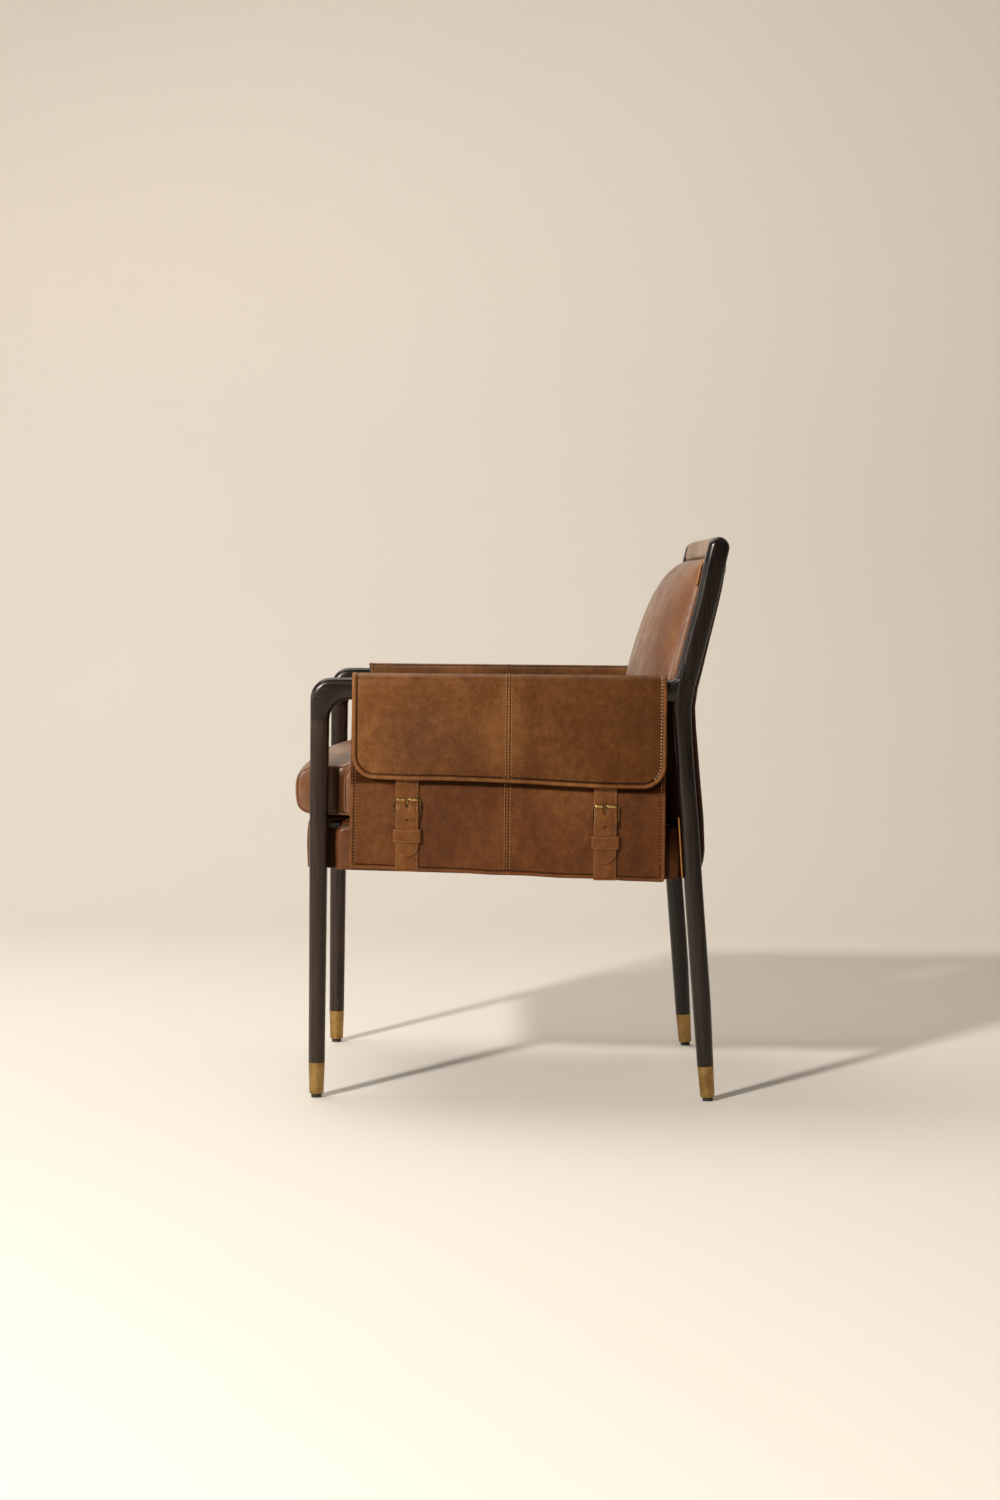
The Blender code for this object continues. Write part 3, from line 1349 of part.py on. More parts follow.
def build():
    clear_scene()
    wood = finish("dark_wood", (0.030, 0.020, 0.016), 0.42)
    hidden_wood = finish("rail_wood", (0.42, 0.30, 0.19), 0.60)
    leather = finish("tobacco_leather", (0.24, 0.098, 0.036), 0.50)
    fabric = finish("black_cambric", (0.03, 0.03, 0.03), 0.90)
    brass = finish("satin_brass", (0.55, 0.36, 0.14), 0.32, 1.0)
    old_brass = finish("antique_brass", (0.34, 0.23, 0.10), 0.38, 1.0)
    rubber = finish("black_glide", (0.02, 0.02, 0.02), 0.55)
    wood_frame(wood)
    feet(brass, rubber)
    seat(hidden_wood, leather, fabric)
    back(hidden_wood, leather)
    saddlebags(leather)
    buckled_straps(leather, old_brass)


build()
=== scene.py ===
import json
import math

import bmesh
import bpy
import numpy as np
from mathutils import Matrix, Vector, noise
from mathutils.bvhtree import BVHTree
from mathutils.geometry import delaunay_2d_cdt
from mathutils.kdtree import KDTree


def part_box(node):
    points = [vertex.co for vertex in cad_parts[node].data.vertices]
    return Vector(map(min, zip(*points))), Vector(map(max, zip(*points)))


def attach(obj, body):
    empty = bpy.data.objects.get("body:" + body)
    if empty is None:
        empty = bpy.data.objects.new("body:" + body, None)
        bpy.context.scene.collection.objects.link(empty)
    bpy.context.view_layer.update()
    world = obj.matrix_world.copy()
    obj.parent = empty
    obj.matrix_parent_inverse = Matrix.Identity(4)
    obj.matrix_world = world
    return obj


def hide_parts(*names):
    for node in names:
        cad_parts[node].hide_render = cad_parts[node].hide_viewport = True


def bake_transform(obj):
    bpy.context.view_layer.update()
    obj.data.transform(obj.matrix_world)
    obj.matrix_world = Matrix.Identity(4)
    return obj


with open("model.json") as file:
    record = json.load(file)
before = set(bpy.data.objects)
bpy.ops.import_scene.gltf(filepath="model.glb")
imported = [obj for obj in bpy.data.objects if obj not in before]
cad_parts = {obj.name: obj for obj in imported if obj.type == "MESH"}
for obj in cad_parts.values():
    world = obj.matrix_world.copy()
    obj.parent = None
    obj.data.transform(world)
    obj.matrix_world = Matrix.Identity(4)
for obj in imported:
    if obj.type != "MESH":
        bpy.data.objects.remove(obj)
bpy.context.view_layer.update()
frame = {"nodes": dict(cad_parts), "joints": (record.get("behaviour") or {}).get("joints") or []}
nodes = frame["nodes"]
pivots = {joint["name"]: joint["pos_m"] for joint in frame["joints"]}

SIDES = (("left", 1), ("right", -1))
PLACES = ("front", "rear")
MM = 0.001

# Camera, as worked out from the photograph
CAMERA_PLACE = Vector((4.48, -0.0116, 0.7576))
CAMERA_PITCH = math.radians(3.253)
CAMERA_ROLL = math.radians(0.556)
CAMERA_LENS_MM = 68.87

# Seat plane: its height at the middle and its fall towards the rear
SEAT_DATUM = 0.3345
SEAT_FALL = math.tan(math.radians(1.11))
BASE_TALL = 0.078

# Stitches, and the lines that draw a lapped centre seam, in millimetres from its middle
STITCH_PITCH = 4.8 * MM
STITCH_LENGTH = 3.5 * MM
STITCH_RADIUS = 0.42 * MM
STITCH_LIFT = 0.1 * MM
SEAM_LINES = (-6.2, -5.0, -4.2, -3.4, -2.4, -1.2, 0, 1.2, 2.4, 3.4, 4.2, 5.0, 6.2)


# Smooth steps, humps and waves

def ease(value):
    """A smooth rise from zero to one."""
    value = np.clip(value, 0, 1)
    return value * value * (3 - 2 * value)


def hump(distance, width):
    """A smooth hump that falls from one to zero over a width."""
    return 1 - ease(np.abs(distance) / width)


def bands(edge, *rows):
    """Smooth bands along an edge: (amount, distance from the edge in mm, width in mm)."""
    return sum(amount * hump(edge - distance * MM, width * MM) for amount, distance, width in rows)


def wave(point, scale, seed):
    """Smooth noise from about minus one to one."""
    return noise.noise(Vector(point) * scale + Vector((seed, seed * 0.7, seed * 1.3)))


def ripple(u, v, scale, seed):
    """Smooth waves over a sheet, from about minus one to one."""
    total = 0.0
    for i in range(4):
        turn = seed * 1.7 + i * 2.399
        count = scale * (0.7 + 0.23 * i)
        total = total + np.sin((u * math.cos(turn) + v * math.sin(turn)) * count + seed * 3.1 + i * 1.9)
    return total / 4


# Lines and outlines

def arc(centre, radius, start, end, count):
    """Points on an arc in a plane, its ends included."""
    angles = [start + (end - start) * i / count for i in range(count + 1)]
    return [(centre[0] + radius * math.cos(a), centre[1] + radius * math.sin(a)) for a in angles]


def spaced_line(points, step, closed=False):
    """A plane line again, with points about a step apart and its corners kept."""
    result = []
    for i in range(len(points) if closed else len(points) - 1):
        a = Vector(points[i])
        b = Vector(points[(i + 1) % len(points)])
        parts = max(1, round((b - a).length / step))
        result += [tuple(a.lerp(b, k / parts)) for k in range(parts)]
    return result if closed else result + [tuple(points[-1])]


def smoothed(points, times):
    """A line with its corners evened out and its ends kept."""
    points = np.array(points, float)
    for _ in range(times):
        points[1:-1] = (points[:-2] + 2 * points[1:-1] + points[2:]) / 4
    return points


def opened(points):
    """A closed line of points, started after its longest gap."""
    start = max(range(len(points)), key=lambda i: math.dist(points[i], points[i - 1]))
    return points[start:] + points[:start]


def across(us, vs):
    """Flat lines along u, one at each v."""
    return [[(u, v) for u in us] for v in vs]


def upwards(us, vs):
    """Flat lines along v, one at each u."""
    return [[(u, v) for v in vs] for u in us]


def edge_distance(points, outline):
    """How far plane points are from the nearest side of an outline."""
    p = np.asarray(points, float)[:, None, :]
    a = np.asarray(outline, float)[None]
    way = np.roll(a, -1, axis=1) - a
    size = np.maximum((way ** 2).sum(-1), 1e-16)
    share = np.clip(((p - a) * way).sum(-1) / size, 0, 1)
    return np.linalg.norm(p - a - share[..., None] * way, axis=-1).min(axis=1)


def inside(points, outline):
    """Which plane points lie in an outline."""
    p = np.asarray(points, float)
    a = np.asarray(outline, float)
    b = np.roll(a, -1, axis=0)
    crossed = (a[None, :, 1] > p[:, None, 1]) != (b[None, :, 1] > p[:, None, 1])
    rise = np.where(b[:, 1] == a[:, 1], 1e-12, b[:, 1] - a[:, 1])
    level = a[:, 0] + (p[:, None, 1] - a[:, 1]) * (b[:, 0] - a[:, 0]) / rise
    return (crossed & (p[:, None, 0] < level)).sum(axis=1) % 2 == 1


def inset_line(outline, distance):
    """A closed outline drawn in evenly."""
    line = np.asarray(outline, float)
    way_in = line - np.roll(line, 1, axis=0)
    way_out = np.roll(line, -1, axis=0) - line
    way_in /= np.maximum(np.linalg.norm(way_in, axis=1), 1e-12)[:, None]
    way_out /= np.maximum(np.linalg.norm(way_out, axis=1), 1e-12)[:, None]
    normal = np.stack([-way_in[:, 1] - way_out[:, 1], way_in[:, 0] + way_out[:, 0]], axis=1)
    normal /= np.maximum(np.linalg.norm(normal, axis=1), 1e-12)[:, None]
    lean = np.maximum(0.4, -normal[:, 0] * way_in[:, 1] + normal[:, 1] * way_in[:, 0])
    return line + normal * (distance / lean)[:, None]


def area_of(outline):
    """Area in an outline, negative where it runs clockwise."""
    line = np.asarray(outline, float)
    after = np.roll(line, -1, axis=0)
    return 0.5 * float((line[:, 0] * after[:, 1] - after[:, 0] * line[:, 1]).sum())


def rounded_outline(corners, step=5 * MM):
    """A closed plane outline with rounded corners: each corner is (u, v, radius)."""
    points = []
    for i, (u, v, radius) in enumerate(corners):
        here = Vector((u, v))
        if radius < 0.1 * MM:
            points.append(tuple(here))
            continue
        before = (Vector(corners[i - 1][:2]) - here).normalized()
        after = (Vector(corners[(i + 1) % len(corners)][:2]) - here).normalized()
        half = before.angle(after) / 2
        reach = radius / math.tan(half)
        centre = here + (before + after).normalized() * radius / math.sin(half)
        start, end = here + before * reach - centre, here + after * reach - centre
        steps = min(16, max(3, round(radius * (math.pi - 2 * half) / (2.5 * MM))))
        for k in range(steps + 1):
            points.append(tuple(centre + start.lerp(end, k / steps).normalized() * radius))
    return spaced_line(points, step, closed=True)


def oblong(low_u, high_u, low_v, high_v, low_radius, high_radius=None, step=5 * MM):
    """A rectangle with one corner radius at its low end and another at its high end."""
    top = low_radius if high_radius is None else high_radius
    return rounded_outline([(low_u, low_v, low_radius), (high_u, low_v, low_radius),
                            (high_u, high_v, top), (low_u, high_v, top)], step)


# Meshes

def new_object(name, verts, faces, material, body=None):
    """A smooth-shaded mesh object, on a CAD body and with a slot's look where they are given."""
    mesh = bpy.data.meshes.new(name)
    mesh.from_pydata([tuple(v) for v in verts], [], faces)
    mesh.validate()
    mesh.update()
    mesh.shade_smooth()
    mesh.materials.append(material)
    obj = bpy.data.objects.new(name, mesh)
    bpy.context.scene.collection.objects.link(obj)
    if body:
        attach(obj, body)
    return obj


def edit_mesh(obj, edit):
    """Changes an object's mesh by a function that takes it as a BMesh."""
    bm = bmesh.new()
    bm.from_mesh(obj.data)
    edit(bm)
    bm.to_mesh(obj.data)
    bm.free()


def turn_outwards(bm):
    bmesh.ops.recalc_face_normals(bm, faces=bm.faces)


def mark_wear_and_shade(obj, values):
    """Writes each point's wear and painted shade, which the leather materials read: above zero is rubbed
    lighter, below zero is painted shade.
    """
    attribute = obj.data.attributes.new("wear", "FLOAT", "POINT")
    attribute.data.foreach_set("value", np.array(values, np.float32))


def ring_faces(count, rings, first=0):
    """Faces of a closed skin through rings of points, with a cap at each end."""
    faces = []
    for ring in range(rings - 1):
        for k in range(count):
            a = first + ring * count + k
            b = first + ring * count + (k + 1) % count
            faces.append((a, b, b + count, a + count))
    faces.append(tuple(first + k for k in reversed(range(count))))
    faces.append(tuple(first + (rings - 1) * count + k for k in range(count)))
    return faces


def point_tree(points):
    """A tree that finds the nearest of some points."""
    tree = KDTree(len(points))
    for i, point in enumerate(points):
        tree.insert(point, i)
    tree.balance()
    return tree


def triangulated(outline, rings, lines, grid_step, holes=()):
    """Plane points and triangles inside an outline, dense along its edge and along given lines."""
    border = [np.asarray(loop, float) for loop in (outline, *holes)]
    loops, first = [], 0
    for loop in border:
        loops.append(range(first, first + len(loop)))
        first += len(loop)
    edges = [edge for loop in loops for edge in zip(loop, [*loop[1:], loop[0]])]

    def within(points):
        keep = inside(points, outline)
        for hole in holes:
            keep &= ~inside(points, hole)
        return keep

    def allowed(points, gap):
        points = np.asarray(points, float)
        keep = within(points)
        for loop in border:
            keep &= edge_distance(points, loop) > gap
        return points[keep]
    sets = border + [allowed(inset_line(outline, distance), 0.9 * distance) for distance in rings]
    sets += [allowed(line, 0.9 * min(rings)) for line in lines]
    low, high = border[0].min(axis=0), border[0].max(axis=0)
    columns, rows = np.maximum(1, ((high - low) / grid_step).astype(int))
    grid = []
    for k in range(1, rows + 1):
        xs = low[0] + (np.arange(columns) + 0.5 + 0.5 * (k % 2)) * (high[0] - low[0]) / (columns + 1)
        grid += [(x, low[1] + k * (high[1] - low[1]) / (rows + 1)) for x in xs]
    grid = allowed(grid, max(rings) + 0.4 * grid_step)
    if lines:
        tree = point_tree([(u, v, 0) for line in lines for u, v in line])
        grid = np.array([(u, v) for u, v in grid if tree.find((u, v, 0))[2] > 0.45 * grid_step])
    sets.append(grid.reshape(-1, 2))
    points = [Vector(p) for p in np.concatenate(sets)]
    kept, _, faces, origin, _, _ = delaunay_2d_cdt(points, edges, [], 0, 1e-7)
    flat = np.array([tuple(p) for p in kept])
    middles = np.array([flat[list(face)].mean(axis=0) for face in faces])
    triangles = [face for face, good in zip(faces, within(middles)) if good]
    place_of = {source: i for i, sources in enumerate(origin) for source in sources}
    loops = [[place_of[i] for i in loop] for loop in loops]
    used = sorted({i for line in (*triangles, *loops) for i in line})
    renumber = {old: new for new, old in enumerate(used)}
    triangles = [tuple(renumber[i] for i in triangle) for triangle in triangles]
    return flat[used], triangles, [[renumber[i] for i in loop] for loop in loops]


class Sheet:
    """A closed piece of leather from a flat cut.

    place(u, v, h) gives points in space at heights h over the sheet's back, height(u, v, edge)
    what stands up from the plain thickness where edge is the distance to the welted outline, and
    sway(u, v) how far the whole sheet bulges. A side of -1 mirrors the piece.
    """

    def __init__(self, outline, place, thickness, height=None, sway=None, side=1, welt_outline=None):
        self.outline = list(outline)[::-1] if area_of(outline) < 0 else outline
        self.place = place
        self.thickness = thickness
        self.height = height
        self.sway = sway
        self.side = side
        self.welt_outline = welt_outline or self.outline

    def points(self, flat, level=None, lift=0.0):
        """Places on the top of the sheet, or at a level over its back."""
        flat = np.asarray(flat, float)
        u, v = flat[:, 0], flat[:, 1]
        h = np.full(len(flat), self.thickness if level is None else level)
        if level is None and self.height:
            h = h + self.height(u, v, edge_distance(flat, self.welt_outline))
        if self.sway:
            h = h + self.sway(u, v)
        placed = self.place(u, v, h + lift)
        placed[:, 0] *= self.side
        return placed

    def sew(self, name, lines, material, slot, lift=STITCH_LIFT, **thread_looks):
        """Stitches on the top of the sheet, along flat lines."""
        runs = []
        for line in lines:
            out = self.points(line, level=10 * MM) - self.points(line, level=0.0)
            runs.append((self.points(line, lift=lift), out / np.linalg.norm(out, axis=1)[:, None]))
        return stitches(name, runs, material, slot, **thread_looks)

    def inset(self, distance):
        """The sheet's outline drawn in, as a list of flat points."""
        return [tuple(p) for p in inset_line(self.outline, distance)]

    def build(self, name, material, replaced, rings, lines=(), grid_step=8 * MM, holes=(),
              wear=None):
        """The sheet as a closed mesh in place of a CAD node."""
        flat, triangles, loops = triangulated(self.outline, rings, lines, grid_step, holes)
        count = len(flat)
        faces = triangles + [tuple(i + count for i in reversed(t)) for t in triangles]
        for loop in loops:
            faces += [(b, a, a + count, b + count) for a, b in zip(loop, loop[1:] + loop[:1])]
        verts = np.concatenate([self.points(flat), self.points(flat, level=0.0)])
        obj = new_object(name, verts, faces, material, "chair")
        edit_mesh(obj, turn_outwards)
        # Above zero these values are rubbed wear, below zero painted shade.
        wear_and_shade_values = np.zeros(count)
        if wear:
            wear_and_shade_values = wear(flat[:, 0], flat[:, 1], edge_distance(flat, self.welt_outline))
        mark_wear_and_shade(obj, np.concatenate([wear_and_shade_values, wear_and_shade_values]))
        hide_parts(replaced)
        return obj


def bent(profile, plane="xz"):
    """place() for a sheet bent along an end view: u runs straight and v along the bent line."""
    line = np.asarray(profile, float)
    steps = np.linalg.norm(np.diff(line, axis=0), axis=1)
    along = np.concatenate([[0], np.cumsum(steps)])
    way = np.gradient(line, along, axis=0)
    way /= np.linalg.norm(way, axis=1)[:, None]

    def place(u, v, h):
        beyond = np.maximum(v - along[-1], 0) + np.minimum(v, 0)
        end = [np.where(v > along[-1], way[-1, k], way[0, k]) for k in (0, 1)]
        a = np.interp(v, along, line[:, 0]) - h * np.interp(v, along, way[:, 1]) + beyond * end[0]
        b = np.interp(v, along, line[:, 1]) + h * np.interp(v, along, way[:, 0]) + beyond * end[1]
        return np.stack({"xz": (a, u, b), "yz": (u, a, b), "xy": (a, b, u)}[plane], axis=1)
    return place, float(along[-1]), along


def rolled_edge(edge, width, rise, channel):
    """Height of a rolled and stitched edge: a round roll, then the channel of its seam."""
    share = np.clip(np.abs(edge - 0.5 * width) / (0.5 * width), 0, 1)
    return rise * np.sqrt(np.maximum(0, 1 - share ** 2.4)) - channel * hump(edge - width - 0.9 * MM, 1.9 * MM)


def seam_ridge(distance, rise):
    """Height across a lapped centre seam with a stitch row on each side."""
    return rise * hump(distance, 1.9 * MM) - 0.9 * rise * hump(np.abs(distance) - 2.4 * MM, 1.2 * MM)


def cut_edge(edge, drop, width):
    """Depth in mm that a plain cut edge is rounded down by."""
    return -drop * MM * (1 - ease(edge / (width * MM)))


def edge_rings(width):
    """Ring distances that draw a rolled edge well."""
    shares = (0.05, 0.15, 0.30, 0.50, 0.70, 0.85, 0.95)
    return [share * width for share in shares] + [width + d * MM for d in (0.4, 0.9, 1.5, 2.6, 4.5)]


def line_samples(points, normals, pitch):
    """Middles, directions and normals spaced evenly along a line in space."""
    line, out = np.array(points), np.array(normals)
    steps = np.linalg.norm(np.diff(line, axis=0), axis=1)
    along = np.concatenate([[0], np.cumsum(steps)])

    def at(values, distance):
        return np.array([np.interp(distance, along, values[:, k]) for k in range(3)])
    count = max(1, int(along[-1] / pitch))
    for i in range(count):
        middle = (i + 0.5) * along[-1] / count
        way = at(line, middle + 0.5 * MM) - at(line, middle - 0.5 * MM)
        yield Vector(at(line, middle)), Vector(way).normalized(), Vector(at(out, middle)).normalized()


def stitches(name, runs, material, slot, body="chair", pitch=STITCH_PITCH, length=STITCH_LENGTH,
             radius=STITCH_RADIUS, slant=0.06):
    """Threads laid along lines: each run is (points, outward directions)."""
    verts, faces = [], []
    sides = 6
    stations = ((-0.5, 0.55, -0.9), (-0.28, 1.0, 0.25), (0.28, 1.0, 0.25), (0.5, 0.55, -0.9))
    for points, normals in runs:
        for middle, way, normal in line_samples(points, normals, pitch):
            way = (way - normal * way.dot(normal)).normalized()
            way = (way + normal.cross(way) * slant).normalized()
            sideways = normal.cross(way)
            faces += ring_faces(sides, len(stations), len(verts))
            for along, size, lift in stations:
                centre = middle + way * along * length + normal * lift * radius
                for k in range(sides):
                    angle = 2 * math.pi * k / sides
                    offset = sideways * math.cos(angle) + normal * math.sin(angle)
                    verts.append(centre + offset * size * radius)
    obj = new_object(name, verts, faces, material, body)
    edit_mesh(obj, turn_outwards)
    return obj


def tube(name, points, radius, material, sides=8):
    """A welt or rod swept along a line in space, its ends closed."""
    points = [Vector(p) for p in points]
    normal = (points[1] - points[0]).orthogonal().normalized()
    verts = []
    for i, point in enumerate(points):
        way = (points[min(i + 1, len(points) - 1)] - points[max(i - 1, 0)]).normalized()
        normal = (normal - way * normal.dot(way)).normalized()
        sideways = way.cross(normal)
        for k in range(sides):
            angle = 2 * math.pi * k / sides
            verts.append(point + (normal * math.cos(angle) + sideways * math.sin(angle)) * radius)
    obj = new_object(name, verts, ring_faces(sides, len(points)), material, "chair")
    edit_mesh(obj, turn_outwards)


# Node helpers

def feed(tree, socket, value):
    """Gives an input its value: another node's socket, a colour or a number."""
    if isinstance(value, bpy.types.NodeSocket):
        tree.links.new(value, socket)
    elif socket.type == "RGBA":
        socket.default_value = (*value, 1)
    else:
        socket.default_value = value


def put(tree, kind, **values):
    """A node with its properties and inputs set."""
    node = tree.nodes.new(kind)
    for key, value in values.items():
        if key in node.bl_rna.properties:
            setattr(node, key, value)
        else:
            feed(tree, node.inputs[key.replace("_", " ")], value)
    return node


def ramp(tree, source, stops):
    """A colour ramp fed by a value: stops are (place, colour) or (place, grey)."""
    node = put(tree, "ShaderNodeValToRGB", Fac=source)
    elements = node.color_ramp.elements
    while len(elements) < len(stops):
        elements.new(0.5)
    for element, (place, colour) in zip(elements, stops):
        element.position = place
        element.color = (*colour, 1) if isinstance(colour, tuple) else (colour, colour, colour, 1)
    return node.outputs["Color"]


def mixed(tree, fac, a, b, mode="MIX"):
    """Two colours mixed by a socket or a number."""
    node = put(tree, "ShaderNodeMix", data_type="RGBA", blend_type=mode, Factor=fac)
    feed(tree, node.inputs[6], a)
    feed(tree, node.inputs[7], b)
    return node.outputs[2]


def maths(tree, operation, *values, clamp=False):
    """A sum on sockets and numbers."""
    node = put(tree, "ShaderNodeMath", operation=operation, use_clamp=clamp)
    for socket, value in zip(node.inputs, values):
        feed(tree, socket, value)
    return node.outputs[0]


def sum_of(tree, a, b, factor):
    """a plus b times a factor."""
    return maths(tree, "MULTIPLY_ADD", b, factor, a)


def coordinates(tree, scale=(1, 1, 1)):
    """Object coordinates, stretched along a grain."""
    where = put(tree, "ShaderNodeTexCoord").outputs["Object"]
    return put(tree, "ShaderNodeMapping", Vector=where, Scale=scale).outputs["Vector"]


def noise_of(tree, vector, scale, detail=3.0, roughness=0.55, distortion=0.0):
    return put(tree, "ShaderNodeTexNoise", Vector=vector, Scale=scale, Detail=detail, Roughness=roughness,
               Distortion=distortion).outputs["Fac"]


def cells_of(tree, vector, scale, feature="F1"):
    return put(tree, "ShaderNodeTexVoronoi", feature=feature, Vector=vector, Scale=scale).outputs["Distance"]


def new_material(name):
    material = bpy.data.materials.new(name)
    material.use_nodes = True
    return material, material.node_tree


def finished(material, colour, roughness, height=None, strength=0.0, depth=0.0, **values):
    """Joins a material's looks to its shader; depth is the height of its relief in metres."""
    tree = material.node_tree
    inputs = tree.nodes["Principled BSDF"].inputs
    values.update(Base_Color=colour, Roughness=roughness)
    if height:
        values["Normal"] = put(tree, "ShaderNodeBump", Strength=strength, Distance=depth,
                               Height=height).outputs["Normal"]
    for key, value in values.items():
        feed(tree, inputs[key.replace("_", " ")], value)
    return material


# Materials

def leather(name, dark, middle, light, rough=0.46, streak=(1, 1, 0.55), shine=0.34, glow=(1.0, 0.80, 0.62)):
    """Waxed pull-up leather: clouded colour, pores, fine creases and rubbed edges, with painted shade where
    its point attribute is below zero.
    """
    material, tree = new_material(name)
    plain = coordinates(tree)
    clouds = noise_of(tree, coordinates(tree, streak), 9.0, 5.0, 0.60, 0.3)
    mottle = noise_of(tree, plain, 85.0, 5.0, 0.70)
    grains = noise_of(tree, plain, 420.0, 3.0, 0.70)
    both = sum_of(tree, sum_of(tree, clouds, mottle, 0.50), grains, 0.35)
    colour = ramp(tree, sum_of(tree, 0.0, both, 0.5), ((0.37, dark), (0.46, middle), (0.555, light)))
    pores = cells_of(tree, plain, 560.0)
    colour = mixed(tree, 1.0, colour, ramp(tree, pores, ((0.0, 0.80), (0.30, 1.0))), "MULTIPLY")
    wear = put(tree, "ShaderNodeAttribute", attribute_name="wear").outputs["Fac"]
    wear_and_shade_amount = maths(tree, "MULTIPLY", wear, ramp(tree, mottle, ((0.25, 0.35), (0.70, 1.0))))
    colour = mixed(tree, wear_and_shade_amount, colour, tuple(min(1.0, c * 1.55 + 0.012) for c in light))
    # Below zero the point attribute is painted shade: it darkens the colour and dulls the shine.
    darkened = maths(tree, "MULTIPLY", wear, -1.0, clamp=True)
    colour = mixed(tree, darkened, colour, tuple(c * 0.18 for c in dark))
    gloss = noise_of(tree, plain, 34.0, 4.0, 0.6)
    roughness = ramp(tree, gloss, ((0.30, rough - 0.08), (0.72, rough + 0.12)))
    grain = sum_of(tree, pores, cells_of(tree, plain, 330.0, "DISTANCE_TO_EDGE"), 0.6)
    grain = sum_of(tree, grain, noise_of(tree, plain, 190.0, 4.0, 0.6), 0.9)
    return finished(material, colour, roughness, grain, 0.30, 0.0003, Specular_Tint=glow,
                    Specular_IOR_Level=sum_of(tree, shine, darkened, -shine))


def stained_wood(name, grain_axis, tone=1.0):
    """Near-black stained oak: open pores along the grain under a satin lacquer."""
    material, tree = new_material(name)
    scale = [1.0, 1.0, 1.0]
    scale[grain_axis] = 0.035
    where = coordinates(tree, tuple(scale))
    bands_along = noise_of(tree, where, 210.0, 4.0, 0.6, 0.6)
    pores = noise_of(tree, where, 640.0, 2.0, 0.5)
    broad = noise_of(tree, coordinates(tree), 16.0, 3.0, 0.5)
    stains = ((0.50, (0.0100, 0.0052, 0.0030)), (0.72, (0.0190, 0.0102, 0.0060)),
              (0.95, (0.0360, 0.0205, 0.0125)))
    stops = [(place, tuple(c * tone for c in colour)) for place, colour in stains]
    colour = ramp(tree, sum_of(tree, bands_along, broad, 0.45), stops)
    colour = mixed(tree, 1.0, colour, ramp(tree, pores, ((0.36, 0.62), (0.47, 1.0))), "MULTIPLY")
    roughness = ramp(tree, sum_of(tree, bands_along, broad, 0.5), ((0.45, 0.22), (0.95, 0.33)))
    return finished(material, colour, roughness, sum_of(tree, pores, bands_along, 0.6), 0.12, 0.0002,
                    Specular_IOR_Level=0.44, Specular_Tint=(1.0, 0.92, 0.86))


def plain_wood(name):
    """Unfinished frame timber inside the seat and back."""
    material, tree = new_material(name)
    grain = noise_of(tree, coordinates(tree, (0.06, 1, 1)), 160.0, 4.0, 0.6, 0.5)
    colour = ramp(tree, grain, ((0.3, (0.30, 0.19, 0.10)), (0.7, (0.52, 0.37, 0.22))))
    return finished(material, colour, 0.68, grain, 0.4, 0.0004)


def brass(name, dark, light, rough, brush=(1, 1, 26), scale=60.0):
    """Metal brushed round its length, with a little tarnish."""
    material, tree = new_material(name)
    lines = noise_of(tree, coordinates(tree, brush), scale, 4.0, 0.7)
    cloud = noise_of(tree, coordinates(tree), 55.0, 4.0, 0.6)
    colour = ramp(tree, sum_of(tree, lines, cloud, 0.8), ((0.66, dark), (1.0, light)))
    roughness = ramp(tree, sum_of(tree, lines, cloud, 0.5), ((0.5, rough - 0.06), (1.0, rough + 0.16)))
    return finished(material, colour, roughness, lines, 0.22, 0.0002, Metallic=1.0)


def thread(name, dark, light):
    """Waxed polyester thread with a visible twist."""
    material, tree = new_material(name)
    fibres = noise_of(tree, coordinates(tree), 900.0, 2.0, 0.5)
    return finished(material, ramp(tree, fibres, ((0.35, dark), (0.65, light))), 0.55, fibres, 0.5, 0.0002)


def cambric(name):
    """Black cloth of pressed fibres."""
    material, tree = new_material(name)
    fibres = noise_of(tree, coordinates(tree), 700.0, 3.0, 0.7, 1.2)
    colour = ramp(tree, fibres, ((0.35, (0.010, 0.010, 0.010)), (0.7, (0.035, 0.034, 0.033))))
    return finished(material, colour, 0.92, fibres, 0.5, 0.0003)


def glide_rubber(name):
    """Black moulded glide with scuffs."""
    material, tree = new_material(name)
    scuffs = noise_of(tree, coordinates(tree), 240.0, 4.0, 0.7)
    colour = ramp(tree, scuffs, ((0.4, (0.008, 0.008, 0.008)), (0.8, (0.035, 0.034, 0.032))))
    return finished(material, colour, ramp(tree, scuffs, ((0.3, 0.42), (0.8, 0.70))))


def plain_ground(name, colour):
    """Floor and backdrop paper."""
    material, tree = new_material(name)
    shade = tuple(c * 0.985 for c in colour)
    tone = ramp(tree, noise_of(tree, coordinates(tree), 1.3, 2.0, 0.5), ((0.3, shade), (0.7, colour)))
    return finished(material, tone, 0.75, Specular_IOR_Level=0.2)


SADDLE = leather("saddle_leather", (0.080, 0.0240, 0.0040), (0.138, 0.0465, 0.0090),
                 (0.212, 0.0820, 0.0210))
PANEL = leather("panel_leather", (0.066, 0.0175, 0.0026), (0.110, 0.0325, 0.0058), (0.168, 0.0570, 0.0130))
STRAP = leather("strap_leather", (0.092, 0.0270, 0.0052), (0.150, 0.0500, 0.0108),
                (0.215, 0.0820, 0.0210), 0.40)
CUSHION = leather("cushion_leather", (0.096, 0.0290, 0.0068), (0.144, 0.0500, 0.0140),
                  (0.208, 0.0830, 0.0290), 0.35, (1, 1, 0.6), 0.64, (1.0, 0.95, 0.90))
UPHOLSTERY = leather("upholstery_leather", (0.070, 0.0195, 0.0044), (0.110, 0.0340, 0.0084),
                     (0.175, 0.0650, 0.0200), 0.40, (1, 1, 0.6), 0.40, (1.0, 0.88, 0.76))
